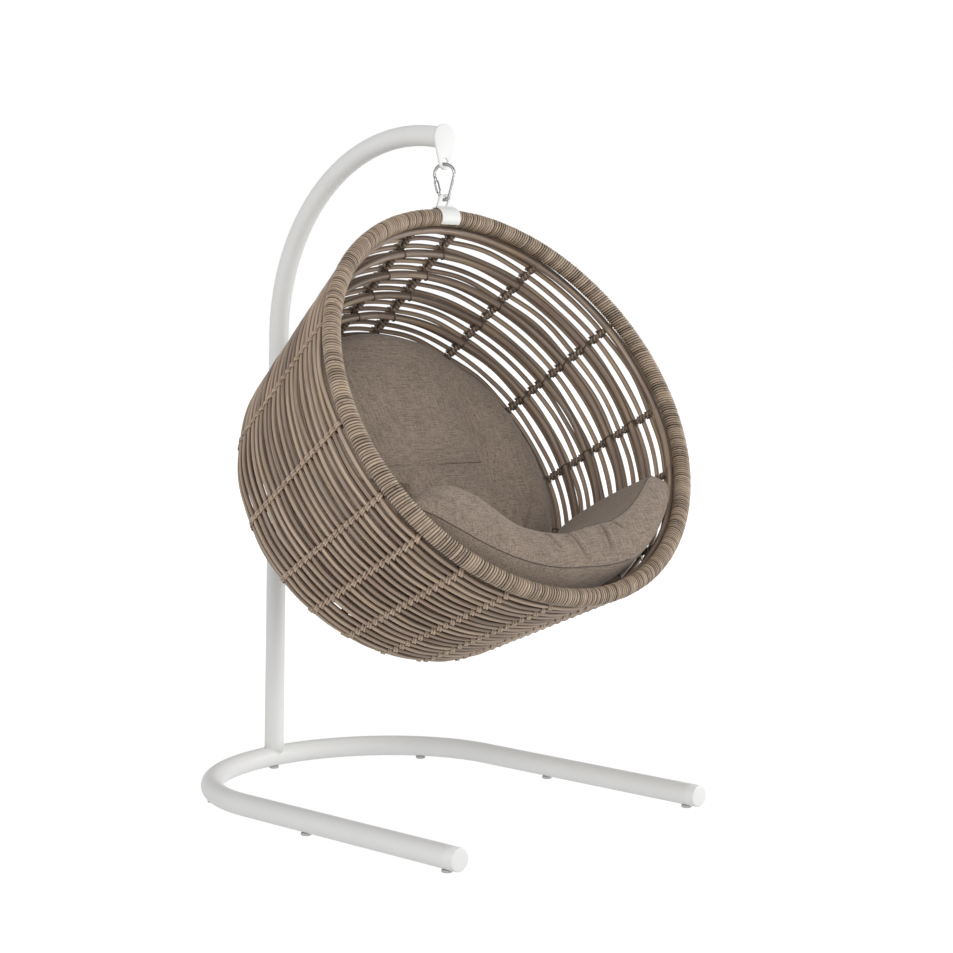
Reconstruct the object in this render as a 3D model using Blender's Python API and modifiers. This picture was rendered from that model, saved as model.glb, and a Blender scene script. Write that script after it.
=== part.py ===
"""Hanging chair: a round wicker basket with two loose cushions, hung on a bent tube stand.

Metres, +Z up. The chair faces -Y, the floor is Z = 0, and the origin is on the floor under the
middle of the object's box. The stand is symmetric about the plane X = 0.
"""

import math

import bmesh
import bpy
from mathutils import Matrix, Vector

# Fits
GAP = 0.0003
RUNNING_GAP = 0.0004

# Base: one tube bent to a U, open at the front
BASE_TUBE_DIAMETER = 0.0626
BASE_TUBE_WALL = 0.002
BASE_WIDTH = 0.974
BASE_BEND_DEPTH = 0.449
BASE_LENGTH = 1.2955
BASE_BEND_SEGMENTS = 26
END_CAP_THICKNESS = 0.003
END_CAP_PLUG_LENGTH = 0.016
END_CAP_CHAMFER = 0.001

# Feet under the base tube
FOOT_HEIGHT = 0.008
FOOT_DIAMETER = 0.030
FOOT_FROM_END = 0.043
FOOT_SPACING_ON_ARM = 0.541
FOOT_ANGLE_ON_BEND = 30.0

# Mast: one tube, straight and then bent forward over the basket
MAST_TUBE_DIAMETER = 0.0592
MAST_TUBE_WALL = 0.002
MAST_LEAN = 1.67
MAST_BEND_START = 1.352
MAST_BEND_RADIUS = 0.585
MAST_BEND_SEGMENTS = 18
TUBE_SIDES = 12

# Hanger plate across the mast's end
HANG_FROM_MAST = 0.758
PLATE_THICKNESS = 0.006
PLATE_TOP_RADIUS = 0.040
PLATE_FOOT_RADIUS = 0.0215
PLATE_HOLE_RADIUS = 0.0115
PLATE_HOLE_BELOW_TUBE = 0.0663
WIRE_SWING_CLEARANCE = 0.0017

# Carabiner: a pear of round wire, wide end up, with a sprung gate and a lock sleeve
WIRE_DIAMETER = 0.009
CARABINER_HEIGHT = 0.100
CARABINER_TOP_RADIUS = 0.0285
CARABINER_FOOT_RADIUS = 0.0145
CARABINER_TURN = 30.0
WIRE_SIDES = 8
GATE_DIAMETER = 0.0086
GATE_FOOT_CLEARANCE = 0.0022
GATE_PIN_HEIGHT = 0.0046
GATE_PIN_DIAMETER = 0.0024
GATE_BORE_DIAMETER = 0.0046
GATE_BORE_LENGTH = 0.012
TONGUE_THICKNESS = 0.0034
TONGUE_RADIUS = 0.0034
SLEEVE_DIAMETER = 0.0150
SLEEVE_LENGTH = 0.034
SLEEVE_FROM_PIN = 0.0055
SLEEVE_CHAMFER = 0.001
SPRING_WIRE_DIAMETER = 0.0006
SPRING_TURNS = 6
SPRING_POINTS_PER_TURN = 8

# Basket frame: the rim is an ellipse that leans back at the top
RIM_HALF_WIDTH = 0.631
RIM_HALF_HEIGHT = 0.583
RIM_DIAMETER = 0.048
RIM_TILT = 29.0
RIM_TOP_HEIGHT = 1.683
RIM_SEGMENTS = 48
RIM_SIDES = 10

# Basket wall, measured on the ribs' centre line: a cone, a rounded corner and a flat back
WALL_OFFSET_AT_RIM = 0.0027
WALL_TAPER = 0.174
WALL_DROP = -0.051
WALL_CORNER_RADIUS = 0.1287
BASKET_DEPTH = 0.6417
BACK_PANEL_INSET = 0.026
BACK_PANEL_THICKNESS = 0.010

# Wicker: ribs from the rim to the back panel, thick hoops inside them and thin canes outside.
# Each thin cane goes round once in every one of its rows, and a hoop lies behind its first row.
RIB_DIAMETER = 0.008
RIB_SIDES = 6
UPPER_RIB_FIRST = 7.5
UPPER_RIB_STEP = 28.2
UPPER_RIB_PAIRS = 4
LOWER_RIB_FIRST = 112.6
LOWER_RIB_STEP = 13.7
LOWER_RIB_PAIRS = 5
WIDEST_HOOP_STEP = 16.0
HOOP_DIAMETER = 0.022
HOOP_SIDES = 6
HOOP_FIRST = 0.0362
CANE_DIAMETER = 0.014
CANE_SIDES = 4
CANE_FIRST = 0.0417
LAST_HOOP_PAST_BEND = 0.0193
CANE_COUNT = 8
CANE_ROWS = 3
CANE_STEP_RIB = 7

# Bracket: a strap over the top of the rim, open at the back below, with a lug for the carabiner
STRAP_WIDTH = 0.070
STRAP_THICKNESS = 0.004
STRAP_CLEARANCE = 0.0025
STRAP_BACK_END = -20.0
STRAP_FRONT_END = 220.0
STRAP_SEGMENTS = 24
LUG_THICKNESS = 0.008
LUG_TOP_WIDTH = 0.040
LUG_HOLE_RADIUS = 0.0125
LUG_HOLE_BELOW_WIRE = 0.0047
LUG_LIP = 0.008

# Back cushion: a round pad on the basket's back with a stitched square, clear of the wall at its sides
BACK_PAD_WIDTH_SHARE = 0.93
BACK_PAD_EDGE_THICKNESS = 0.250
BACK_PAD_CROWN = 0.042
BACK_PAD_EDGE_RADIUS = 0.060
BACK_PAD_SQUARE = 0.40
BACK_PAD_SQUARE_CENTRE = 0.18
BACK_PAD_STITCH_DEPTH = 0.014
BACK_PAD_STITCH_WIDTH = 0.030
BACK_PAD_FRONT_RINGS = 13
BACK_PAD_SIDE_RINGS = 7

# Seat cushion: a thick pad bent along the basket's lower wall
SEAT_FRONT_DEPTH = -0.004
SEAT_FROM_BACK_PAD = 0.032
SEAT_THICKNESS = 0.165
SEAT_HALF_ANGLE = 61.0
SEAT_END_POWER = 4.0
SEAT_END_THICKNESS_SHARE = 0.10
SEAT_CORNER_POWER = 4.0
SEAT_SECTION_POINTS = 20

COLLECTION_NAME = "hanging_chair"
CUTTER_COLLECTION_NAME = "cutters"

WHITE_STEEL = ((0.80, 0.80, 0.79), 0.45, 0.0)
WHITE_CAP = ((0.88, 0.88, 0.87), 0.40, 0.0)
DARK_PLASTIC = ((0.10, 0.10, 0.10), 0.60, 0.0)
ZINC = ((0.62, 0.62, 0.60), 0.30, 1.0)
RATTAN = ((0.30, 0.24, 0.185), 0.65, 0.0)
WRAPPED_RATTAN = ((0.33, 0.265, 0.20), 0.65, 0.0)
LINEN = ((0.235, 0.195, 0.16), 0.90, 0.0)

# Places worked out from the sizes above
LEAN = math.radians(MAST_LEAN)
TILT = math.radians(RIM_TILT)
RIM_RADIUS = RIM_DIAMETER / 2
HALF_RIB = RIB_DIAMETER / 2
HALF_WIRE = WIRE_DIAMETER / 2
FRONT_REACH = HANG_FROM_MAST + 2 * RIM_HALF_HEIGHT * math.sin(TILT) + RIM_RADIUS
MAST_Y = (FRONT_REACH - BASE_TUBE_DIAMETER / 2) / 2
HANG_Y = MAST_Y - HANG_FROM_MAST
BASE_Z = FOOT_HEIGHT + BASE_TUBE_DIAMETER / 2
PLATE_BACK_Y = HANG_Y + PLATE_THICKNESS / 2
RIM_TOP = Vector((0.0, HANG_Y, RIM_TOP_HEIGHT))
RIM_CENTRE = RIM_TOP - RIM_HALF_HEIGHT * Vector((0.0, math.sin(TILT), math.cos(TILT)))


def mast_point(turn):
    """Point on the mast's bend after turning forward by this angle."""
    start_y = MAST_Y - (MAST_BEND_START - BASE_Z) * math.tan(LEAN)
    along = math.sin(turn)
    inward = 1.0 - math.cos(turn)
    return Vector((
        0.0,
        start_y - MAST_BEND_RADIUS * (along * math.sin(LEAN) + inward * math.cos(LEAN)),
        MAST_BEND_START + MAST_BEND_RADIUS * (along * math.cos(LEAN) - inward * math.sin(LEAN)),
    ))


def mast_turn_at(y):
    """Turn at which the mast's bend reaches this Y."""
    start_y = MAST_Y - (MAST_BEND_START - BASE_Z) * math.tan(LEAN)
    return math.acos(math.cos(LEAN) - (start_y - y) / MAST_BEND_RADIUS) - LEAN


PLATE_CENTRE_Z = mast_point(mast_turn_at(PLATE_BACK_Y)).z
PLATE_HOLE_Z = PLATE_CENTRE_Z - PLATE_HOLE_BELOW_TUBE
SWING_PIVOT = Vector((0.0, HANG_Y, PLATE_HOLE_Z - PLATE_HOLE_RADIUS))
WIRE_TOP_Z = PLATE_HOLE_Z - PLATE_HOLE_RADIUS + HALF_WIRE + WIRE_SWING_CLEARANCE
WIRE_FOOT_Z = WIRE_TOP_Z - CARABINER_HEIGHT
SWAY_PIVOT = Vector((0.0, HANG_Y, WIRE_FOOT_Z))
LUG_HOLE_Z = WIRE_FOOT_Z - LUG_HOLE_BELOW_WIRE


def rib_angles():
    """Angles of the ribs round the rim, from the top, in order."""
    one_side = [UPPER_RIB_FIRST + UPPER_RIB_STEP * i for i in range(UPPER_RIB_PAIRS)]
    one_side += [LOWER_RIB_FIRST + LOWER_RIB_STEP * i for i in range(LOWER_RIB_PAIRS)]
    other_side = [360.0 - angle for angle in reversed(one_side)]
    return one_side + [180.0] + other_side


def hoop_angles():
    """Angles of a hoop's corners: one at every rib, and more where ribs are far apart."""
    ribs = rib_angles()
    angles = []
    for here, following in zip(ribs, ribs[1:] + [ribs[0] + 360.0]):
        steps = math.ceil((following - here) / WIDEST_HOOP_STEP)
        angles += [here + (following - here) * i / steps for i in range(steps)]
    return angles


def wall_point(length, outward):
    """Offset from the rim's ellipse and depth, at a length along the ribs' line from the rim."""
    slope = math.atan(WALL_TAPER)
    corner_depth = BASKET_DEPTH - WALL_CORNER_RADIUS
    cone_end_depth = corner_depth + WALL_CORNER_RADIUS * math.sin(slope)
    cone_length = cone_end_depth / math.cos(slope)
    cone_end_offset = WALL_OFFSET_AT_RIM - WALL_TAPER * cone_end_depth
    corner_offset = cone_end_offset - WALL_CORNER_RADIUS * math.cos(slope)
    corner_length = WALL_CORNER_RADIUS * (math.pi / 2 - slope)
    if length < cone_length:
        offset = WALL_OFFSET_AT_RIM - length * math.sin(slope)
        depth = length * math.cos(slope)
        facing = slope
    elif length < cone_length + corner_length:
        facing = slope + (length - cone_length) / WALL_CORNER_RADIUS
        offset = corner_offset + WALL_CORNER_RADIUS * math.cos(facing)
        depth = corner_depth + WALL_CORNER_RADIUS * math.sin(facing)
    else:
        facing = math.pi / 2
        offset = corner_offset - (length - cone_length - corner_length)
        depth = BASKET_DEPTH
    return offset + outward * math.cos(facing), depth + outward * math.sin(facing)


def ring_point(offset, depth, angle):
    """Point of a ring in the basket's frame: x right, y up the rim's plane, z out of the opening."""
    turn = math.radians(angle)
    return Vector((
        (RIM_HALF_WIDTH + offset) * math.sin(turn),
        (RIM_HALF_HEIGHT + offset) * math.cos(turn) + WALL_DROP * depth,
        -depth,
    ))


def wall_length_at_corner_end():
    """Length along the ribs' line from the rim to the start of the flat back."""
    slope = math.atan(WALL_TAPER)
    cone_end_depth = BASKET_DEPTH - WALL_CORNER_RADIUS * (1.0 - math.sin(slope))
    return cone_end_depth / math.cos(slope) + WALL_CORNER_RADIUS * (math.pi / 2 - slope)


CANE_ROW_TOTAL = CANE_COUNT * CANE_ROWS
CANE_ROW_PITCH = (wall_length_at_corner_end() + LAST_HOOP_PAST_BEND - CANE_FIRST) / CANE_ROW_TOTAL
CANE_ROW_LENGTHS = [CANE_FIRST + CANE_ROW_PITCH * i for i in range(CANE_ROW_TOTAL)]
HOOP_LENGTHS = [HOOP_FIRST] + CANE_ROW_LENGTHS[CANE_ROWS::CANE_ROWS]
HOOP_LENGTHS.append(CANE_ROW_LENGTHS[-1] + CANE_ROW_PITCH)
RIB_END_LENGTH = wall_length_at_corner_end() + BACK_PANEL_INSET - GAP
HOOP_OUTWARD = -(HALF_RIB + GAP + HOOP_DIAMETER / 2)
SEAT_FACE_OUTWARD = HOOP_OUTWARD - HOOP_DIAMETER / 2 - GAP
BACK_PAD_FRONT_DEPTH = BASKET_DEPTH - BACK_PAD_EDGE_THICKNESS
SEAT_BACK_DEPTH = BACK_PAD_FRONT_DEPTH - SEAT_FROM_BACK_PAD


def start_scene():
    """Remove what the scene holds and make the two collections."""
    for item in list(bpy.data.objects):
        bpy.data.objects.remove(item, do_unlink=True)
    made = []
    for name in (COLLECTION_NAME, CUTTER_COLLECTION_NAME):
        collection = bpy.data.collections.new(name)
        bpy.context.scene.collection.children.link(collection)
        made.append(collection)
    return made


PARTS, CUTTERS = start_scene()


def frame_empty(name, location, rotation=(0.0, 0.0, 0.0), parent=None):
    """Empty that carries the pieces of one moving body."""
    empty = bpy.data.objects.new(name, None)
    empty.location = location
    empty.rotation_euler = rotation
    empty.parent = parent
    PARTS.objects.link(empty)
    return empty


def add_part(item, look, parent=None):
    """Put an object in the part's collection, with a material and a parent."""
    colour, roughness, metallic = look
    material = bpy.data.materials.new(item.name)
    material.use_nodes = True
    shader = material.node_tree.nodes["Principled BSDF"]
    shader.inputs["Base Color"].default_value = (*colour, 1.0)
    shader.inputs["Roughness"].default_value = roughness
    shader.inputs["Metallic"].default_value = metallic
    item.data.materials.clear()
    item.data.materials.append(material)
    item.parent = parent
    PARTS.objects.link(item)
    return item


def add_cutter(item, parent=None):
    """Put an object in the cutters' collection, out of the render."""
    item.hide_render = True
    item.display_type = "WIRE"
    item.parent = parent
    CUTTERS.objects.link(item)
    return item


def combine(item, other, operation):
    """Boolean modifier."""
    modifier = item.modifiers.new(operation.lower(), "BOOLEAN")
    modifier.operation = operation
    modifier.object = other
    modifier.solver = "EXACT"


def tube_curve(name, points, diameter, sides, closed=False, caps=True):
    """Round tube along straight runs between the points."""
    curve = bpy.data.curves.new(name, "CURVE")
    curve.dimensions = "3D"
    curve.fill_mode = "FULL"
    curve.twist_mode = "Z_UP"
    curve.bevel_depth = diameter / 2
    curve.bevel_resolution = (sides - 4) // 2
    curve.use_fill_caps = caps and not closed
    spline = curve.splines.new("POLY")
    spline.points.add(len(points) - 1)
    for target, point in zip(spline.points, points):
        target.co = (*point, 1.0)
    spline.use_cyclic_u = closed
    return bpy.data.objects.new(name, curve)


def plate_curve(name, outlines, thickness):
    """Flat plate in the local XY plane, with its later outlines as holes."""
    curve = bpy.data.curves.new(name, "CURVE")
    curve.dimensions = "2D"
    curve.fill_mode = "BOTH"
    curve.extrude = thickness / 2
    for outline in outlines:
        spline = curve.splines.new("POLY")
        spline.points.add(len(outline) - 1)
        for target, point in zip(spline.points, outline):
            target.co = (point[0], point[1], 0.0, 1.0)
        spline.use_cyclic_u = True
    return bpy.data.objects.new(name, curve)


def as_mesh(item):
    """Same object as a welded mesh."""
    scratch = bpy.context.scene.collection
    scratch.objects.link(item)
    bpy.context.view_layer.update()
    evaluated = item.evaluated_get(bpy.context.evaluated_depsgraph_get())
    mesh = bpy.data.meshes.new_from_object(evaluated)
    shape = bmesh.new()
    shape.from_mesh(mesh)
    bmesh.ops.remove_doubles(shape, verts=shape.verts, dist=0.00001)
    bmesh.ops.recalc_face_normals(shape, faces=shape.faces)
    shape.to_mesh(mesh)
    shape.free()
    name = item.name
    matrix = item.matrix_world.copy()
    bpy.data.objects.remove(item, do_unlink=True)
    solid = bpy.data.objects.new(name, mesh)
    solid.matrix_world = matrix
    return solid


def turned(name, profile, steps):
    """Solid of revolution about the local Z axis, from a profile that runs up its outer side."""
    mesh = bpy.data.meshes.new(name)
    shape = bmesh.new()
    verts = [shape.verts.new((radius, 0.0, height)) for radius, height in profile]
    closed = profile[0][0] > 0.0
    pairs = list(zip(verts, verts[1:] + verts[:1])) if closed else list(zip(verts, verts[1:]))
    for first, second in pairs:
        shape.edges.new((first, second))
    bmesh.ops.spin(
        shape,
        geom=shape.verts[:] + shape.edges[:],
        axis=(0.0, 0.0, 1.0),
        cent=(0.0, 0.0, 0.0),
        steps=steps,
        angle=math.tau,
    )
    bmesh.ops.remove_doubles(shape, verts=shape.verts, dist=0.00001)
    bmesh.ops.recalc_face_normals(shape, faces=shape.faces)
    shape.to_mesh(mesh)
    shape.free()
    return bpy.data.objects.new(name, mesh)


def loft(name, rings, first_end, last_end):
    """Closed skin over rings with the same number of points, with a point at each end."""
    mesh = bpy.data.meshes.new(name)
    shape = bmesh.new()
    rows = [[shape.verts.new(point) for point in ring] for ring in rings]
    count = len(rows[0])
    for row, following in zip(rows, rows[1:]):
        for i in range(count):
            j = (i + 1) % count
            shape.faces.new((row[i], row[j], following[j], following[i]))
    for row, end in ((rows[0], first_end), (rows[-1], last_end)):
        tip = shape.verts.new(end)
        for i in range(count):
            shape.faces.new((row[i], row[(i + 1) % count], tip))
    bmesh.ops.recalc_face_normals(shape, faces=shape.faces)
    shape.to_mesh(mesh)
    shape.free()
    return bpy.data.objects.new(name, mesh)


def arc(centre, radius, start, end, segments):
    """Points of a flat arc, angles in degrees, both ends included."""
    points = []
    for i in range(segments + 1):
        turn = math.radians(start + (end - start) * i / segments)
        points.append((centre[0] + radius * math.cos(turn), centre[1] + radius * math.sin(turn)))
    return points


def circle(centre, radius, segments):
    """Points of a flat circle."""
    return arc(centre, radius, 0.0, 360.0, segments)[:-1]


def base_path():
    """Centre line of the base tube, from the -X arm's end to the +X arm's end."""
    half = BASE_WIDTH / 2
    front_y = MAST_Y - BASE_LENGTH
    bend_y = MAST_Y - BASE_BEND_DEPTH
    points = [Vector((-half, front_y, BASE_Z))]
    for i in range(BASE_BEND_SEGMENTS + 1):
        turn = math.pi * i / BASE_BEND_SEGMENTS
        points.append(Vector((
            -half * math.cos(turn),
            bend_y + BASE_BEND_DEPTH * math.sin(turn),
            BASE_Z,
        )))
    points.append(Vector((half, front_y, BASE_Z)))
    return points


def mast_path(past_plate):
    """Centre line of the mast, from inside the base tube to a little past the plate."""
    last_turn = mast_turn_at(PLATE_BACK_Y - past_plate)
    points = [Vector((0.0, MAST_Y, BASE_Z))]
    for i in range(MAST_BEND_SEGMENTS + 1):
        points.append(mast_point(last_turn * i / MAST_BEND_SEGMENTS))
    return points


def hollow(item, wall):
    """Give an open tube its wall, inward."""
    modifier = item.modifiers.new("wall", "SOLIDIFY")
    modifier.thickness = wall
    modifier.offset = -1.0
    modifier.use_even_offset = True
    modifier.use_rim = True


def make_stand():
    """Base tube, end caps, feet, mast and hanger plate."""
    base = as_mesh(tube_curve("base_tube", base_path(), BASE_TUBE_DIAMETER, TUBE_SIDES, caps=False))
    hollow(base, BASE_TUBE_WALL)
    add_part(base, WHITE_STEEL)

    saddle_diameter = BASE_TUBE_DIAMETER + 2 * GAP
    saddle = add_cutter(as_mesh(tube_curve("mast_saddle", base_path(), saddle_diameter, TUBE_SIDES)))
    past_plate = MAST_TUBE_DIAMETER / 2
    mast = as_mesh(tube_curve("mast_tube", mast_path(past_plate), MAST_TUBE_DIAMETER, TUBE_SIDES, caps=False))
    hollow(mast, MAST_TUBE_WALL)
    combine(mast, saddle, "DIFFERENCE")
    bpy.ops.mesh.primitive_cube_add(size=1.0)
    end_cut = bpy.context.object
    end_cut.name = "mast_end_cut"
    bpy.context.collection.objects.unlink(end_cut)
    cut_size = 4 * MAST_TUBE_DIAMETER
    end_cut.scale = (cut_size, cut_size, cut_size)
    end_cut.location = (0.0, PLATE_BACK_Y + GAP - cut_size / 2, PLATE_CENTRE_Z)
    add_cutter(end_cut)
    combine(mast, end_cut, "DIFFERENCE")
    add_part(mast, WHITE_STEEL)

    for side, name in ((-1, "end_cap_left"), (1, "end_cap_right")):
        make_end_cap(name, side)
    for name, place in foot_places():
        make_foot(name, place)
    make_hanger_plate()


def make_end_cap(name, side):
    """Flush cap with a plug that goes into the arm's end."""
    outer = BASE_TUBE_DIAMETER / 2
    bore = (outer - BASE_TUBE_WALL) * math.cos(math.pi / TUBE_SIDES)
    plug = bore - GAP
    profile = [
        (0.0, 0.0),
        (outer - END_CAP_CHAMFER, 0.0),
        (outer, END_CAP_CHAMFER),
        (outer, END_CAP_THICKNESS),
        (plug, END_CAP_THICKNESS),
        (plug, END_CAP_THICKNESS + END_CAP_PLUG_LENGTH),
        (0.0, END_CAP_THICKNESS + END_CAP_PLUG_LENGTH),
    ]
    cap = turned(name, profile, 20)
    cap.rotation_euler = (-math.pi / 2, 0.0, 0.0)
    front_y = MAST_Y - BASE_LENGTH - END_CAP_THICKNESS - GAP
    cap.location = (side * BASE_WIDTH / 2, front_y, BASE_Z)
    add_part(cap, WHITE_CAP)


def foot_places():
    """Name and floor place of each foot."""
    half = BASE_WIDTH / 2
    end_y = MAST_Y - BASE_LENGTH + FOOT_FROM_END
    turn = math.radians(FOOT_ANGLE_ON_BEND)
    bend_x = half * math.cos(turn)
    bend_y = MAST_Y - BASE_BEND_DEPTH + BASE_BEND_DEPTH * math.sin(turn)
    places = [("foot_rear", (0.0, MAST_Y))]
    for side, word in ((-1, "left"), (1, "right")):
        places.append((f"foot_front_{word}", (side * half, end_y)))
        places.append((f"foot_middle_{word}", (side * half, end_y + FOOT_SPACING_ON_ARM)))
        places.append((f"foot_bend_{word}", (side * bend_x, bend_y)))
    return places


def make_foot(name, place):
    """Round glide, as high as the gap under the tube."""
    radius = FOOT_DIAMETER / 2
    top = FOOT_HEIGHT - GAP
    chamfer = FOOT_HEIGHT / 4
    profile = [
        (0.0, 0.0),
        (radius - chamfer, 0.0),
        (radius, chamfer),
        (radius, top),
        (0.0, top),
    ]
    foot = turned(name, profile, 16)
    foot.location = (place[0], place[1], 0.0)
    add_part(foot, DARK_PLASTIC)


def make_hanger_plate():
    """Upright plate across the mast's end: round at the top, narrower at the carabiner's hole."""
    drop = PLATE_HOLE_BELOW_TUBE
    lean = math.degrees(math.asin((PLATE_TOP_RADIUS - PLATE_FOOT_RADIUS) / drop))
    outline = arc((0.0, 0.0), PLATE_TOP_RADIUS, -lean, 180.0 + lean, 20)
    outline += arc((0.0, -drop), PLATE_FOOT_RADIUS, 180.0 + lean, 360.0 - lean, 12)
    hole = circle((0.0, -drop), PLATE_HOLE_RADIUS, 20)
    plate = plate_curve("hanger_plate", [outline, hole], PLATE_THICKNESS)
    plate.rotation_euler = (math.pi / 2, 0.0, 0.0)
    plate.location = (0.0, HANG_Y, PLATE_CENTRE_Z)
    add_part(as_mesh(plate), WHITE_STEEL)


def carabiner_outline():
    """Key points of the pear in its own plane: x to the front leg, y up from the swing pivot."""
    top_y = WIRE_TOP_Z - SWING_PIVOT.z - CARABINER_TOP_RADIUS
    foot_y = WIRE_FOOT_Z - SWING_PIVOT.z + CARABINER_FOOT_RADIUS
    lean = math.asin((CARABINER_TOP_RADIUS - CARABINER_FOOT_RADIUS) / (top_y - foot_y))
    normal = Vector((-math.cos(lean), -math.sin(lean)))
    gate_foot = Vector((0.0, foot_y)) + CARABINER_FOOT_RADIUS * normal
    gate_top = Vector((0.0, top_y)) + CARABINER_TOP_RADIUS * normal
    return top_y, foot_y, lean, gate_foot, gate_top


def make_carabiner(swing):
    """Wire body with its tongue, gate, pin, spring and lock sleeve."""
    top_y, foot_y, lean, gate_foot, gate_top = carabiner_outline()
    lean_degrees = math.degrees(lean)
    flat = arc((0.0, foot_y), CARABINER_FOOT_RADIUS, 180.0 + lean_degrees, 360.0 - lean_degrees, 12)
    flat += arc((0.0, top_y), CARABINER_TOP_RADIUS, -lean_degrees, 180.0 + lean_degrees, 18)
    upright = (math.pi / 2, 0.0, math.radians(CARABINER_TURN - 90.0))
    plane = frame_empty("carabiner_plane", (0.0, 0.0, 0.0), upright, swing)
    body = as_mesh(tube_curve("carabiner_body", [(x, y, 0.0) for x, y in flat], WIRE_DIAMETER, WIRE_SIDES))

    along = (gate_top - gate_foot).normalized()
    gate_angle = math.atan2(along.y, along.x) - math.pi / 2
    gate_length = (gate_top - gate_foot).length
    pin_place = gate_foot + along * GATE_PIN_HEIGHT
    pivot = frame_empty("gate_pivot", (*pin_place, 0.0), (0.0, 0.0, gate_angle), plane)

    tongue_outline = [(-TONGUE_RADIUS, -GATE_PIN_HEIGHT - HALF_WIRE / 2)]
    tongue_outline += [(TONGUE_RADIUS, -GATE_PIN_HEIGHT - HALF_WIRE / 2)]
    tongue_outline += arc((0.0, 0.0), TONGUE_RADIUS, 0.0, 180.0, 8)
    hole = circle((0.0, 0.0), GATE_PIN_DIAMETER / 2 + RUNNING_GAP, 10)
    tongue = plate_curve("gate_tongue", [tongue_outline, hole], TONGUE_THICKNESS)
    tongue = add_cutter(as_mesh(tongue), pivot)
    combine(body, tongue, "UNION")
    add_part(body, ZINC, plane)

    gate_start = GATE_FOOT_CLEARANCE - GATE_PIN_HEIGHT
    gate_end = gate_length - GATE_PIN_HEIGHT - RUNNING_GAP
    gate_points = [(0.0, gate_start, 0.0), (0.0, gate_end, 0.0)]
    gate = as_mesh(tube_curve("carabiner_gate", gate_points, GATE_DIAMETER, 12))
    slot_top = TONGUE_RADIUS + RUNNING_GAP
    slot_half = GATE_DIAMETER
    slot_outline = [(-slot_half, 2 * gate_start), (slot_half, 2 * gate_start)]
    slot_outline += [(slot_half, slot_top), (-slot_half, slot_top)]
    slot = plate_curve("gate_slot", [slot_outline], TONGUE_THICKNESS + 2 * RUNNING_GAP)
    combine(gate, add_cutter(as_mesh(slot), pivot), "DIFFERENCE")
    bore_points = [(0.0, 0.0, 0.0), (0.0, slot_top + GATE_BORE_LENGTH, 0.0)]
    bore = as_mesh(tube_curve("gate_bore", bore_points, GATE_BORE_DIAMETER, 10))
    combine(gate, add_cutter(bore, pivot), "DIFFERENCE")
    pin_hole = turned("gate_pin_hole", rod_profile(GATE_PIN_DIAMETER + 2 * RUNNING_GAP, 2 * GATE_DIAMETER), 10)
    combine(gate, add_cutter(pin_hole, pivot), "DIFFERENCE")
    add_part(gate, ZINC, pivot)
    add_part(turned("gate_pin", rod_profile(GATE_PIN_DIAMETER, GATE_DIAMETER), 10), ZINC, plane)
    bpy.data.objects["gate_pin"].location = (*pin_place, 0.0)
    make_gate_spring(pivot, slot_top)
    make_lock_sleeve(pivot)


def rod_profile(diameter, length):
    """Profile of a plain rod centred on the origin."""
    radius = diameter / 2
    return [(0.0, -length / 2), (radius, -length / 2), (radius, length / 2), (0.0, length / 2)]


def make_gate_spring(pivot, slot_top):
    """Coil in the gate's bore that presses on the tongue."""
    radius = GATE_BORE_DIAMETER / 2 * math.cos(math.pi / 10) - GAP - SPRING_WIRE_DIAMETER / 2
    start = slot_top - RUNNING_GAP + GAP + SPRING_WIRE_DIAMETER / 2
    rise = slot_top + GATE_BORE_LENGTH - GAP - SPRING_WIRE_DIAMETER / 2 - start
    points = []
    for i in range(SPRING_TURNS * SPRING_POINTS_PER_TURN + 1):
        share = i / (SPRING_TURNS * SPRING_POINTS_PER_TURN)
        turn = math.tau * SPRING_TURNS * share
        points.append((radius * math.cos(turn), start + rise * share, radius * math.sin(turn)))
    least_gap = rise / SPRING_TURNS - SPRING_WIRE_DIAMETER
    print(f"gate_spring: least gap between turns {least_gap * 1000:.2f} mm")
    add_part(tube_curve("gate_spring", points, SPRING_WIRE_DIAMETER, 6), ZINC, pivot)


def make_lock_sleeve(pivot):
    """Sleeve on the gate. It slides up over the joint between the gate and the wire."""
    inner = HALF_WIRE + RUNNING_GAP
    outer = SLEEVE_DIAMETER / 2
    profile = [
        (inner, 0.0),
        (outer - SLEEVE_CHAMFER, 0.0),
        (outer, SLEEVE_CHAMFER),
        (outer, SLEEVE_LENGTH - SLEEVE_CHAMFER),
        (outer - SLEEVE_CHAMFER, SLEEVE_LENGTH),
        (inner, SLEEVE_LENGTH),
    ]
    sleeve = turned("lock_sleeve", profile, 16)
    sleeve.rotation_euler = (-math.pi / 2, 0.0, 0.0)
    sleeve.location = (0.0, SLEEVE_FROM_PIN, 0.0)
    add_part(sleeve, ZINC, pivot)


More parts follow.
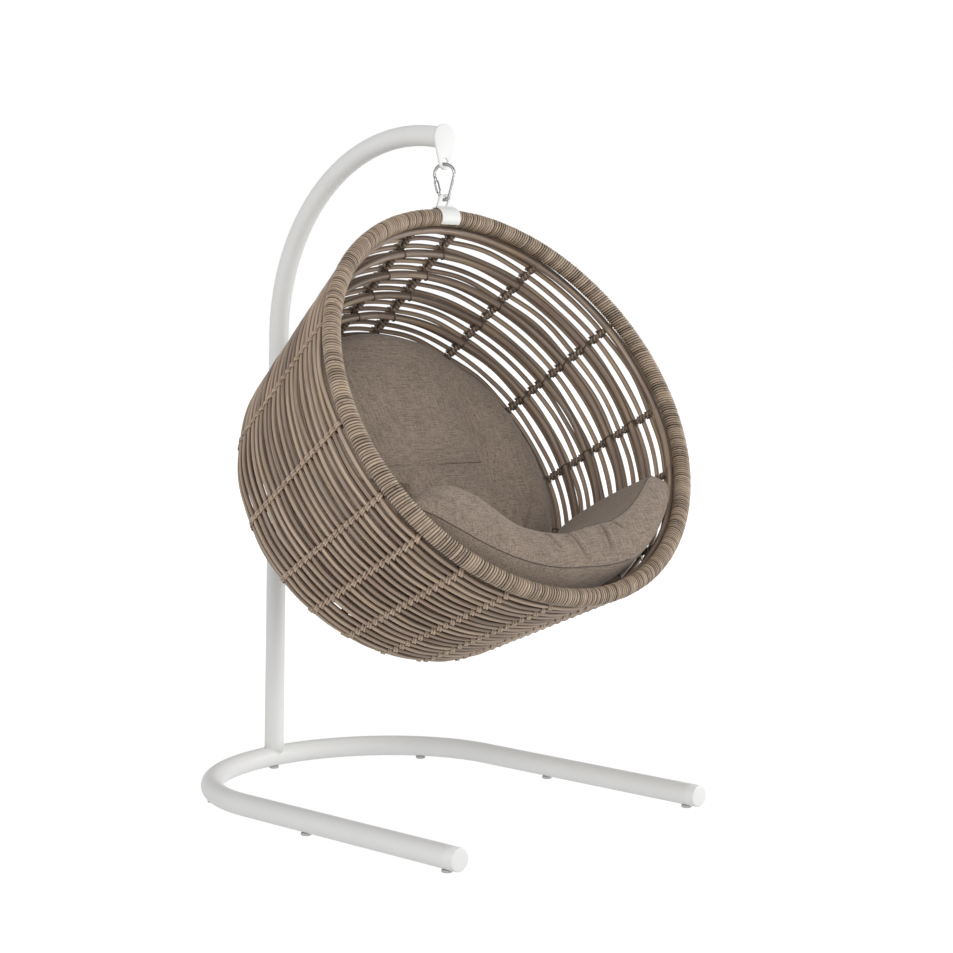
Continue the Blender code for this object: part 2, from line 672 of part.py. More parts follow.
def make_bracket(sway):
    """Strap over the rim's top with a lug that the carabiner passes through."""
    ring_z = RIM_TOP_HEIGHT - SWAY_PIVOT.z
    hole_z = LUG_HOLE_Z - SWAY_PIVOT.z
    lug_top = hole_z + LUG_HOLE_RADIUS + LUG_LIP
    inner = RIM_RADIUS + STRAP_CLEARANCE
    outer = inner + STRAP_THICKNESS
    half_lug = LUG_THICKNESS / 2
    lug_turn = math.degrees(math.asin(half_lug / outer))
    middle = (0.0, ring_z)
    profile = arc(middle, outer, STRAP_BACK_END, 90.0 - lug_turn, STRAP_SEGMENTS // 2)
    profile += [(half_lug, lug_top), (-half_lug, lug_top)]
    profile += arc(middle, outer, 90.0 + lug_turn, STRAP_FRONT_END, STRAP_SEGMENTS // 2)
    profile += arc(middle, inner, STRAP_FRONT_END, STRAP_BACK_END, STRAP_SEGMENTS)
    strap = plate_curve("rim_bracket", [profile], STRAP_WIDTH)
    strap.rotation_euler = (math.pi / 2, 0.0, math.pi / 2)
    bracket = as_mesh(strap)

    half_strap = STRAP_WIDTH
    half_top = LUG_TOP_WIDTH / 2
    corner = half_top / 2
    shoulder = ring_z + outer
    taper = [(-half_strap, ring_z - 2 * outer), (half_strap, ring_z - 2 * outer)]
    taper += [(half_strap, ring_z), (STRAP_WIDTH / 2, ring_z), (half_top, shoulder)]
    taper += arc((half_top - corner, lug_top - corner), corner, 0.0, 90.0, 4)
    taper += arc((corner - half_top, lug_top - corner), corner, 90.0, 180.0, 4)
    taper += [(-half_top, shoulder), (-STRAP_WIDTH / 2, ring_z), (-half_strap, ring_z)]
    keep = plate_curve("bracket_taper", [taper, circle((0.0, hole_z), LUG_HOLE_RADIUS, 20)], 4 * outer)
    keep.rotation_euler = (math.pi / 2, 0.0, 0.0)
    combine(bracket, add_cutter(as_mesh(keep), sway), "INTERSECT")
    add_part(bracket, WHITE_STEEL, sway)


def make_wicker(basket):
    """Rim, ribs, hoops, canes and back panel, in the basket's own frame."""
    rim_points = [ring_point(0.0, 0.0, 360.0 * i / RIM_SEGMENTS) for i in range(RIM_SEGMENTS)]
    add_part(tube_curve("rim_ring", rim_points, RIM_DIAMETER, RIM_SIDES, closed=True), WRAPPED_RATTAN, basket)

    for number, angle in enumerate(rib_angles(), 1):
        points = [ring_point(*wall_point(length, 0.0), angle) for length in rib_lengths()]
        add_part(tube_curve(f"rib_{number:02d}", points, RIB_DIAMETER, RIB_SIDES), RATTAN, basket)

    angles = hoop_angles()
    for number, length in enumerate(HOOP_LENGTHS):
        offset, depth = wall_point(length, hoop_outward(length))
        points = [ring_point(offset, depth, angle) for angle in angles]
        hoop = tube_curve(f"hoop_{number}", points, HOOP_DIAMETER, HOOP_SIDES, closed=True)
        add_part(hoop, RATTAN, basket)
    for number in range(CANE_COUNT):
        rows = CANE_ROW_LENGTHS[number * CANE_ROWS:(number + 1) * CANE_ROWS]
        points = cane_points(rows, angles)
        add_part(tube_curve(f"cane_{number + 1}", points, CANE_DIAMETER, CANE_SIDES), RATTAN, basket)

    panel_offset, panel_depth = wall_point(RIB_END_LENGTH + GAP, 0.0)
    outline = [ring_point(panel_offset, panel_depth, angle).xy for angle in angles]
    panel = plate_curve("back_panel", [outline], BACK_PANEL_THICKNESS)
    panel.location = (0.0, 0.0, -panel_depth)
    add_part(as_mesh(panel), RATTAN, basket)


def rib_lengths():
    """Where a rib has its points: both ends, and every row that lies on the rounded corner."""
    start = (RIM_RADIUS + GAP) / math.cos(math.atan(WALL_TAPER))
    bend_end = wall_length_at_corner_end()
    bend_start = bend_end - WALL_CORNER_RADIUS * (math.pi / 2 - math.atan(WALL_TAPER))
    on_bend = [length for length in CANE_ROW_LENGTHS if bend_start < length < bend_end]
    return [start, bend_start] + on_bend + [bend_end, RIB_END_LENGTH]


def wall_facing(length):
    """Angle of the wall's outward normal from the rim's plane, at a length along the ribs' line."""
    turned_by = (length - wall_length_at_corner_end()) / WALL_CORNER_RADIUS
    return min(max(math.pi / 2 + turned_by, math.atan(WALL_TAPER)), math.pi / 2)


def reach_of_section(sides, facing):
    """Reach of a regular section with a corner in the rim's plane, towards this angle, as a share."""
    step = math.tau / sides
    from_corner = facing % step
    return math.cos(min(from_corner, step - from_corner))


def hoop_outward(length):
    """How far inside the ribs' line a hoop lies when its section touches the ribs."""
    return -HALF_RIB - GAP - HOOP_DIAMETER / 2 * reach_of_section(HOOP_SIDES, wall_facing(length))


def cane_outward(length):
    """How far outside the ribs' line a cane lies when its section touches the ribs."""
    return HALF_RIB + GAP + CANE_DIAMETER / 2 * reach_of_section(CANE_SIDES, wall_facing(length))


def cane_points(rows, angles):
    """One long cane that goes round once in each row and steps to the next between two ribs."""
    last = angles.index(rib_angles()[CANE_STEP_RIB - 1])
    order = angles[last + 1:] + angles[:last + 1]
    turns = []
    for length in rows:
        offset, depth = wall_point(length, cane_outward(length))
        turns.append([ring_point(offset, depth, angle) for angle in order])
    least = min((a - b).length for here, after in zip(turns, turns[1:]) for a, b in zip(here, after))
    print(f"cane: least gap between its turns {(least - CANE_DIAMETER) * 1000:.1f} mm")
    return sum(turns, [])


def outline_on_chords(offset, depth):
    """Ring that follows a hoop's straight runs, with a point at and between its corners."""
    corners = [ring_point(offset, depth, angle) for angle in hoop_angles()]
    points = []
    for here, following in zip(corners, corners[1:] + corners[:1]):
        points += [here, (here + following) / 2]
    return points


def stitch_depth(x, y):
    """How far the stitched square draws the back cushion's face in, at this place."""
    half = BACK_PAD_SQUARE / 2
    from_side = abs(abs(x) - half)
    from_level = abs(abs(y - BACK_PAD_SQUARE_CENTRE) - half)
    inside = max(abs(x), abs(y - BACK_PAD_SQUARE_CENTRE)) - half
    nearest = min(from_side, from_level) if inside < 0.0 else inside
    return BACK_PAD_STITCH_DEPTH * math.exp(-(nearest / BACK_PAD_STITCH_WIDTH) ** 2)


def make_back_cushion(basket):
    """Crowned round pad that fills the back of the basket, in front of the hoops."""
    back_depth = BASKET_DEPTH + SEAT_FACE_OUTWARD
    side_rings = []
    last_length = wall_length_at_corner_end()
    first_length = (BACK_PAD_FRONT_DEPTH + BACK_PAD_EDGE_RADIUS) / math.cos(math.atan(WALL_TAPER))
    for i in range(BACK_PAD_SIDE_RINGS + 1):
        length = first_length + (last_length - first_length) * i / BACK_PAD_SIDE_RINGS
        outline = outline_on_chords(*wall_point(length, SEAT_FACE_OUTWARD))
        side_rings.append([Vector((BACK_PAD_WIDTH_SHARE * point.x, point.y, point.z)) for point in outline])
    widest = side_rings[0]
    middle = Vector((0.0, WALL_DROP * BACK_PAD_FRONT_DEPTH, 0.0))
    rings = []
    for i in range(1, BACK_PAD_FRONT_RINGS + 1):
        share = i / (BACK_PAD_FRONT_RINGS + 1)
        reach = math.sin(share * math.pi / 2)
        ring = []
        for point in widest:
            x = point.x * reach
            y = middle.y + (point.y - middle.y) * reach
            roll = BACK_PAD_EDGE_RADIUS * (1.0 - math.sqrt(1.0 - reach ** 8))
            depth = BACK_PAD_FRONT_DEPTH - BACK_PAD_CROWN * (1.0 - reach ** 2) + roll
            ring.append(Vector((x, y, -depth - stitch_depth(x, y))))
        rings.append(ring)
    rings += side_rings
    front_tip = Vector((0.0, middle.y, BACK_PAD_CROWN - BACK_PAD_FRONT_DEPTH - stitch_depth(0.0, middle.y)))
    back_tip = Vector((0.0, WALL_DROP * back_depth, -back_depth))
    add_part(loft("back_cushion", rings, front_tip, back_tip), LINEN, basket)


def seat_section(angle, shrink):
    """Rounded box across the seat cushion, on the wall side of the hoops' inner faces."""
    away = abs(angle - 180.0) / SEAT_HALF_ANGLE
    share = (1.0 - min(away, 1.0) ** SEAT_END_POWER) ** (1.0 / SEAT_END_POWER)
    thickness = SEAT_THICKNESS * max(share, SEAT_END_THICKNESS_SHARE)
    half_depth = (SEAT_BACK_DEPTH - SEAT_FRONT_DEPTH) / 2
    middle = (SEAT_BACK_DEPTH + SEAT_FRONT_DEPTH) / 2
    slope = math.atan(WALL_TAPER)
    points = []
    for i in range(SEAT_SECTION_POINTS):
        turn = math.tau * i / SEAT_SECTION_POINTS
        along = math.copysign(abs(math.cos(turn)) ** (2 / SEAT_CORNER_POWER), math.cos(turn))
        across = math.copysign(abs(math.sin(turn)) ** (2 / SEAT_CORNER_POWER), math.sin(turn))
        depth = middle + along * half_depth * shrink
        height = thickness / 2 * (1.0 + across * shrink)
        face = WALL_OFFSET_AT_RIM - WALL_TAPER * depth + SEAT_FACE_OUTWARD / math.cos(slope)
        points.append((face - height, depth))
    return points


def make_seat_cushion(basket):
    """Thick pad bent along the lower wall, thinner and rounded at both ends."""
    ends = (180.0 - SEAT_HALF_ANGLE, 180.0 + SEAT_HALF_ANGLE)
    corners = [angle for angle in hoop_angles() if ends[0] < angle < ends[1]]
    rings = []
    for here, following in zip(corners, corners[1:] + [None]):
        ring = [ring_point(offset, depth, here) for offset, depth in seat_section(here, 1.0)]
        rings.append(ring)
        if following is not None:
            after = [ring_point(*place, following) for place in seat_section(following, 1.0)]
            rings.append([(a + b) / 2 for a, b in zip(ring, after)])
    tips = []
    for angle in ends:
        ring = [ring_point(offset, depth, angle) for offset, depth in seat_section(angle, 0.6)]
        tips.append(sum(ring, Vector()) / len(ring))
        rings.insert(0 if angle < 180.0 else len(rings), ring)
    add_part(loft("seat_cushion", rings, tips[0], tips[1]), LINEN, basket)


def main():
    """Make every piece."""
    make_stand()
    swing = frame_empty("swing_pivot", SWING_PIVOT)
    make_carabiner(swing)
    sway = frame_empty("sway_pivot", SWAY_PIVOT - SWING_PIVOT, parent=swing)
    make_bracket(sway)
    basket_turn = (math.pi / 2 - TILT, 0.0, 0.0)
    basket = frame_empty("basket_frame", RIM_CENTRE - SWAY_PIVOT, basket_turn, sway)
    make_wicker(basket)
    make_back_cushion(basket)
    make_seat_cushion(basket)
    bpy.context.view_layer.update()


main()
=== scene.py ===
import math

import bmesh
import bpy
import numpy as np
from mathutils import Matrix, Vector
from mathutils.bvhtree import BVHTree


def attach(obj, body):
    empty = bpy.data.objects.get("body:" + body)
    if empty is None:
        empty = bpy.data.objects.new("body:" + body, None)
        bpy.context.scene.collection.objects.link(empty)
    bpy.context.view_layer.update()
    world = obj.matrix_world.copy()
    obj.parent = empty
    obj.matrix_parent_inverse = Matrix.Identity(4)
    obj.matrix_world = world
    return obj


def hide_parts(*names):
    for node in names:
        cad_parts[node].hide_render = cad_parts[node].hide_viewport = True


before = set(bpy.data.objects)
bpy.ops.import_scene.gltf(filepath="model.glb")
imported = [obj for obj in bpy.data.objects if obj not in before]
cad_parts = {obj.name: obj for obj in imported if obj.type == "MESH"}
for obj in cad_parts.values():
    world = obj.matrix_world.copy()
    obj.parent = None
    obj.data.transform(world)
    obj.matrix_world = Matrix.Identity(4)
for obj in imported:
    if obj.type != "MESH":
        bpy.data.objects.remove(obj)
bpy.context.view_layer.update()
CHANCE = np.random.default_rng(7)

# Stand, in metres, as in the CAD
BASE_RADIUS = 0.0313
BASE_HALF_WIDTH = 0.487
BASE_BEND_DEPTH = 0.449
BASE_LENGTH = 1.2955
BASE_Z = 0.0393
MAST_RADIUS = 0.0296
MAST_LEAN = math.radians(1.67)
MAST_BEND_START = 1.352
MAST_BEND_RADIUS = 0.585
MAST_Y = 0.65799
HANG_Y = -0.10001
TUBE_SIDES = 48
WELD_RADIUS = 0.0028
WELD_RIPPLES = 21.0
MAST_SINK = 0.01
CAP_THICKNESS = 0.003
FIT_GAP = 0.0003
FOOT_RADIUS = 0.015
FOOT_FROM_END = 0.043
FOOT_SPACING = 0.541
FOOT_BEND_ANGLE = math.radians(30.0)

# Edges of the turned pieces: distance in from the outer radius, and height
CAP_EDGE = ((0.0133, 0.0001), (0.0035, 0.0004), (0.0012, 0.0010), (0.0003, 0.0020), (0.0, 0.0030),
            (0.0, 0.0032), (0.0010, 0.0036), (0.0030, 0.0070))
FOOT_EDGE = ((0.003, 0.0), (0.001, 0.0008), (0.0, 0.0022), (0.0, 0.0062), (0.001, 0.0074), (0.004, 0.0080))

# Hanger
PLATE_THICKNESS = 0.006
PLATE_EDGE = 0.0012
PLATE_TOP_RADIUS = 0.040
PLATE_FOOT_RADIUS = 0.0215
PLATE_HOLE_RADIUS = 0.0115
PLATE_HOLE_BELOW_TUBE = 0.0663
WIRE_RADIUS = 0.0045
WIRE_CLEARANCE = 0.0017
CARABINER_HEIGHT = 0.100
CARABINER_TOP_RADIUS = 0.0285
CARABINER_FOOT_RADIUS = 0.0145
CARABINER_ACROSS = np.array((0.5, -0.8660254, 0.0))
UP = np.array((0.0, 0.0, 1.0))
CARABINER_SIDE = np.cross(CARABINER_ACROSS, UP)
GATE_RADIUS = 0.0043
GATE_PIN_HEIGHT = 0.0046
GATE_FOOT_GAP = 0.0012
GATE_HEAD_GAP = 0.0016
GATE_FOOT_STEPS = (0.0, 0.0006, 0.002, 0.006)
GATE_SHARES = (0.5, 0.93, 0.965, 0.97, 1.0)
GATE_GIRTHS = (0.72, 0.9, 1.0, 1.0, 1.0, 1.0, 0.94, 0.80, 0.80)
SLEEVE_RADIUS = 0.0075
SLEEVE_BORE_RADIUS = 0.0052
SLEEVE_LENGTH = 0.034
SLEEVE_FROM_PIN = 0.0055
SLEEVE_END_SHARE = 0.06
SLEEVE_END_GIRTH = 0.86
KNURL_DEPTH = 0.00035
KNURL_FLOOR = 0.0003
KNURL_HALF_SHARE = 0.36
KNURL_WAVES = 9.0
RIM_TOP_HEIGHT = 1.683
STRAP_WIDTH = 0.070
STRAP_THICKNESS = 0.004
STRAP_CLEARANCE = 0.0025
STRAP_FOLD = 0.008
LUG_TOP_WIDTH = 0.040
LUG_CORNER = 0.012
LUG_HOLE_RADIUS = 0.0125
LUG_HOLE_BELOW_WIRE = 0.0047
LUG_LIP = 0.008

# Basket
RIM_HALF_WIDTH = 0.631
RIM_HALF_HEIGHT = 0.583
RIM_MEAN = 0.5 * (RIM_HALF_WIDTH + RIM_HALF_HEIGHT)
RIM_RADIUS = 0.024
RIM_TILT = math.radians(29.0)
WALL_OFFSET_AT_RIM = 0.0027
WALL_SLOPE = math.atan(0.174)
WALL_DROP = -0.051
CORNER_RADIUS = 0.1287
BASKET_DEPTH = 0.6417
RIB_RADIUS = 0.004
HOOP_RADIUS = 0.011
HOOP_FIRST = 0.0362
HOOP_OUTWARD = -0.0153
CANE_RADIUS = 0.007
CANE_FIRST = 0.0417
CANE_ROW_PITCH = 0.0292
CANE_COUNT = 8
CANE_ROWS = 3
CANE_OUTWARD = 0.0113
PAD_OUTWARD = -0.0266
BACK_PAD_FRONT_DEPTH = 0.3917
BACK_PAD_WIDTH_SHARE = 0.952
BACK_PAD_CROWN = 0.042
SEAT_FRONT_DEPTH = -0.004
SEAT_BACK_DEPTH = 0.3597
SEAT_THICKNESS = 0.165
SEAT_HALF_ANGLE = 61.0

RIM_CENTRE = np.array((0.0, HANG_Y - RIM_HALF_HEIGHT * math.sin(RIM_TILT),
                       RIM_TOP_HEIGHT - RIM_HALF_HEIGHT * math.cos(RIM_TILT)))
BASKET_AXES = np.array(((1.0, 0.0, 0.0),
                        (0.0, math.sin(RIM_TILT), math.cos(RIM_TILT)),
                        (0.0, -math.cos(RIM_TILT), math.sin(RIM_TILT))))
BASKET_FRONT = BASKET_AXES[2]
UPPER_RIBS = [7.5, 35.7, 63.9, 92.1]
LOWER_RIBS = [112.6, 126.3, 140.0, 153.7, 167.4]
RIB_ANGLES = UPPER_RIBS + LOWER_RIBS + [180.0]
RIB_ANGLES += [360.0 - angle for angle in reversed(UPPER_RIBS + LOWER_RIBS)]
WIDEST_BAY = 28.2
CONE_LENGTH = (BASKET_DEPTH - CORNER_RADIUS * (1.0 - math.sin(WALL_SLOPE))) / math.cos(WALL_SLOPE)
CORNER_LENGTH = CORNER_RADIUS * (math.pi / 2 - WALL_SLOPE)
WALL_END = CONE_LENGTH + CORNER_LENGTH
ROW_LENGTHS = [CANE_FIRST + CANE_ROW_PITCH * i for i in range(CANE_COUNT * CANE_ROWS)]
HOOP_LENGTHS = [HOOP_FIRST]
HOOP_LENGTHS += [CANE_FIRST + CANE_ROWS * CANE_ROW_PITCH * i for i in range(1, CANE_COUNT + 1)]


# Places on the basket
def wall(length, outward):
    """Offset from the rim's ellipse and depth, at lengths along the wall from the rim."""
    length = np.asarray(length, float)
    facing = WALL_SLOPE + np.clip((length - CONE_LENGTH) / CORNER_RADIUS, 0.0, math.pi / 2 - WALL_SLOPE)
    on_cone = np.minimum(length, CONE_LENGTH)
    offset = WALL_OFFSET_AT_RIM - on_cone * math.sin(WALL_SLOPE)
    depth = on_cone * math.cos(WALL_SLOPE)
    offset = offset + CORNER_RADIUS * (np.cos(facing) - math.cos(WALL_SLOPE))
    depth = depth + CORNER_RADIUS * (np.sin(facing) - math.sin(WALL_SLOPE))
    offset = offset - np.maximum(length - CONE_LENGTH - CORNER_LENGTH, 0.0)
    return offset + outward * np.cos(facing), depth + outward * np.sin(facing)


def to_world(x, y, depth):
    """Row-frame places from the basket's own x, y and depth."""
    local = np.stack(np.broadcast_arrays(x, y, -np.asarray(depth, float)), axis=-1)
    return RIM_CENTRE + local @ BASKET_AXES


def ring(offset, depth, angle):
    """Place at an offset from the rim's ellipse, a depth and an angle from the top."""
    turn = np.radians(angle)
    x = (RIM_HALF_WIDTH + offset) * np.sin(turn)
    y = (RIM_HALF_HEIGHT + offset) * np.cos(turn) + WALL_DROP * depth
    return to_world(x, y, depth)


def on_wall(length, outward, angle, aside=0.0):
    """Place on the basket's wall. aside is a distance along the ring, in metres."""
    offset, depth = wall(length, outward)
    radius = np.maximum(RIM_MEAN + offset, 0.02)
    return ring(offset, depth, angle + np.degrees(aside / radius))


def unit(vectors):
    """Vectors at a length of 1."""
    return vectors / np.linalg.norm(vectors, axis=-1, keepdims=True)


def outward_at(length, angle):
    """Unit vector out of the basket's wall."""
    return unit(on_wall(length, 0.001, angle) - on_wall(length, -0.001, angle))


def eased(share):
    """Share from 0 to 1 with a soft start and end."""
    return share * share * (3.0 - 2.0 * share)


# Mesh tools
class Strips:
    """Collects tubes and flat strands into one mesh, with a UV map in metres along and a tint each."""

    def __init__(self):
        self.points = []
        self.faces = []
        self.caps = []
        self.uvs = []
        self.tints = []
        self.count = 0

    def add(self, path, facing, half_width, half_height, sides=8, closed=False, tint=0.5, power=1.0):
        """Tube along a path. A power below 1 makes its section squarer."""
        path = np.asarray(path, float)
        after = np.roll(path, -1, axis=0)
        along = unit(after - np.roll(path, 1, axis=0) if closed else np.gradient(path, axis=0))
        steps = after - path if closed else np.diff(path, axis=0)
        travelled = np.concatenate(([0.0], np.cumsum(np.linalg.norm(steps, axis=1))))
        facing = np.broadcast_to(np.asarray(facing, float), path.shape)
        facing = unit(facing - along * np.sum(facing * along, axis=1, keepdims=True))
        across = np.cross(along, facing)
        turn = math.tau * np.arange(sides) / sides
        flat = np.sign(np.cos(turn)) * np.abs(np.cos(turn)) ** power
        high = np.sign(np.sin(turn)) * np.abs(np.sin(turn)) ** power
        wide = np.broadcast_to(np.asarray(half_width, float), len(path))[:, None, None]
        tall = np.broadcast_to(np.asarray(half_height, float), len(path))[:, None, None]
        points = path[:, None] + across[:, None] * flat[:, None] * wide
        self.grid(points + facing[:, None] * high[:, None] * tall, travelled, closed, tint)

    def grid(self, points, travelled, closed, tint):
        """Rings of points joined to a tube."""
        amount, sides = points.shape[:2]
        runs = amount if closed else amount - 1
        i = np.repeat(np.arange(runs), sides)
        j = np.tile(np.arange(sides), runs)
        here = i * sides
        ahead = (i + 1) % amount * sides
        beside = (j + 1) % sides
        self.faces.append(np.stack((here + j, ahead + j, ahead + beside, here + beside), 1) + self.count)
        u = np.stack((travelled[i], travelled[i + 1], travelled[i + 1], travelled[i]), 1)
        v = np.stack((j, j, j + 1, j + 1), 1) / sides
        self.uvs.append(np.stack((u, v), 2).reshape(-1, 2))
        if not closed:
            self.caps.append(self.count + np.arange(sides))
            self.caps.append(self.count + (amount - 1) * sides + np.arange(sides)[::-1])
        self.points.append(points.reshape(-1, 3))
        self.tints.append(np.repeat(np.broadcast_to(np.asarray(tint, float), (amount,)), sides))
        self.count += amount * sides

    def make(self, name, used):
        """Mesh object of all the strips."""
        quads = np.concatenate(self.faces)
        loops = np.concatenate([quads.ravel()] + self.caps)
        sizes = [4] * len(quads) + [len(cap) for cap in self.caps]
        starts = np.concatenate(([0], np.cumsum(sizes)[:-1]))
        uvs = np.zeros((len(loops), 2))
        uvs[:quads.size] = np.concatenate(self.uvs)
        mesh = bpy.data.meshes.new(name)
        mesh.vertices.add(self.count)
        mesh.vertices.foreach_set("co", np.concatenate(self.points).ravel())
        mesh.loops.add(len(loops))
        mesh.loops.foreach_set("vertex_index", loops.astype(np.int32))
        mesh.polygons.add(len(starts))
        mesh.polygons.foreach_set("loop_start", starts.astype(np.int32))
        mesh.update(calc_edges=True)
        mesh.uv_layers.new(name="UVMap").data.foreach_set("uv", uvs.ravel())
        tints = mesh.attributes.new("tint", "FLOAT", "POINT")
        tints.data.foreach_set("value", np.concatenate(self.tints))
        mesh.polygons.foreach_set("use_smooth", np.ones(len(starts), dtype=bool))
        mesh.materials.append(used)
        return linked(name, mesh)


def linked(name, data):
    """New object in the scene."""
    item = bpy.data.objects.new(name, data)
    bpy.context.scene.collection.objects.link(item)
    return item


def finished(name, work, used, sharp=None, matrix=Matrix()):
    """Object from a bmesh, smooth but for edges sharper than an angle in degrees."""
    bmesh.ops.recalc_face_normals(work, faces=work.faces)
    mesh = bpy.data.meshes.new(name)
    work.to_mesh(mesh)
    work.free()
    mesh.transform(matrix)
    mesh.shade_smooth()
    if sharp is not None:
        mesh.set_sharp_from_angle(angle=math.radians(sharp))
    mesh.materials.append(used)
    return linked(name, mesh)


def smooth_path(points, steps):
    """Catmull-Rom curve through the points."""
    points = np.asarray(points, float)
    padded = np.concatenate((2 * points[:1] - points[1:2], points, 2 * points[-1:] - points[-2:-1]))
    t = (np.arange(steps) / steps)[:, None]
    made = []
    for i in range(len(points) - 1):
        a, b, c, d = padded[i:i + 4]
        made.append(0.5 * (2 * b + (c - a) * t + (2 * a - 5 * b + 4 * c - d) * t ** 2
                           + (3 * b - a - 3 * c + d) * t ** 3))
    return np.concatenate(made + [points[-1:]])


def closed_mesh(name, rings, first, last, used, sharp=None, matrix=Matrix()):
    """Closed mesh from rings of points with a tip at each end."""
    work = bmesh.new()
    rows = [[work.verts.new(p) for p in row] for row in rings]
    tips = [work.verts.new(first), work.verts.new(last)]
    size = len(rows[0])
    for low, high in zip(rows, rows[1:]):
        for i in range(size):
            after = (i + 1) % size
            work.faces.new((low[i], low[after], high[after], high[i]))
    for i in range(size):
        after = (i + 1) % size
        work.faces.new((tips[0], rows[0][after], rows[0][i]))
        work.faces.new((tips[1], rows[-1][i], rows[-1][after]))
    return finished(name, work, used, sharp, matrix)


def lathe(name, profile, segments, used, matrix):
    """Turned piece: (radius, height) profile about the local Z axis, between two heights on the axis."""
    turn = math.tau * np.arange(segments) / segments
    circle = np.stack((np.cos(turn), np.sin(turn), np.zeros(segments)), 1)
    rings = [radius * circle + height * UP for radius, height in profile[1:-1]]
    return closed_mesh(name, rings, profile[0][1] * UP, profile[-1][1] * UP, used, 40.0, matrix)


def turned(name, radius, edge, segments, used, matrix):
    """Turned disc with this edge."""
    profile = [(0.0, 0.0)] + [(radius - inward, height) for inward, height in edge] + [(0.0, edge[-1][1])]
    return lathe(name, profile, segments, used, matrix)


def settled(item):
    """Apply an object's modifiers to its mesh."""
    graph = bpy.context.evaluated_depsgraph_get()
    mesh = bpy.data.meshes.new_from_object(item.evaluated_get(graph))
    item.modifiers.clear()
    item.data = mesh
    return item


# Materials
PLAIN = (1.0, 1.0, 1.0)


class Look:
    """Nodes of a material or world, with short ways to add more. Each gives the new node's output."""

    def __init__(self, owner):
        owner.use_nodes = True
        self.owner = owner
        self.nodes = owner.node_tree.nodes
        self.links = owner.node_tree.links

    def put(self, node, values):
        """Link or set a node's inputs, by name or number."""
        for name, value in values.items():
            socket = node.inputs[name]
            if hasattr(value, "is_output"):
                self.links.new(value, socket)
            elif socket.type == "RGBA":
                socket.default_value = (*value, 1.0)
            else:
                socket.default_value = value

    def add(self, kind, output, values, **settings):
        """New node with its settings and inputs."""
        node = self.nodes.new(kind)
        for name, value in settings.items():
            setattr(node, name, value)
        self.put(node, values)
        return node.outputs[output]

    def place(self, output="Object"):
        """Texture coordinate."""
        return self.add("ShaderNodeTexCoord", output, {})

    def noise(self, vector, scale, detail=3.0, rough=0.5, seed=None):
        """Noise, with one scale or a scale for each axis, and a fourth coordinate if it is given."""
        if isinstance(scale, tuple):
            vector = self.add("ShaderNodeVectorMath", "Vector", {0: vector, 1: scale}, operation="MULTIPLY")
            scale = 1.0
        values = {"Vector": vector, "Scale": scale, "Detail": detail, "Roughness": rough}
        if seed is None:
            return self.add("ShaderNodeTexNoise", "Fac", values, noise_dimensions="3D")
        values["W"] = seed
        return self.add("ShaderNodeTexNoise", "Fac", values, noise_dimensions="4D")

    def maths(self, operation, first, second=0.0):
        """Math node on outputs or numbers."""
        return self.add("ShaderNodeMath", "Value", {0: first, 1: second}, operation=operation)

    def axis(self, vector, name):
        """One axis of a vector."""
        return self.add("ShaderNodeSeparateXYZ", name, {"Vector": vector})

    def halved(self, value):
        """Values from -1 to 1 brought to 0 to 1."""
        return self.maths("ADD", self.maths("MULTIPLY", value, 0.5), 0.5)

    def ramp(self, fac, *stops):
        """Colour ramp with (place, colour) stops."""
        node = self.nodes.new("ShaderNodeValToRGB")
        elements = node.color_ramp.elements
        while len(elements) < len(stops):
            elements.new(0.5)
        for element, (place, colour) in zip(elements, stops):
            element.position = place
            element.color = (*colour, 1.0)
        self.put(node, {"Fac": fac})
        return node.outputs["Color"]

    def times(self, first, second):
        """Product of two colours."""
        values = {"Factor": 1.0, "A": first, "B": second}
        return self.add("ShaderNodeMix", "Result", values, data_type="RGBA", blend_type="MULTIPLY")

    def shade(self, values):
        """Link or set the shader's inputs."""
        self.put(self.nodes["Principled BSDF"], values)

    def surface(self, colour, height, strength, distance):
        """Give the shader its colour and bump. Gives the material."""
        values = {"Strength": strength, "Distance": distance, "Height": height}
        self.shade({"Base Color": colour, "Normal": self.add("ShaderNodeBump", "Normal", values)})
        return self.owner


def shaded(name, roughness, metallic=0.0, specular=0.5):
    """Nodes of a new material."""
    look = Look(bpy.data.materials.new(name))
    look.shade({"Roughness": roughness, "Metallic": metallic, "Specular IOR Level": specular})
    return look


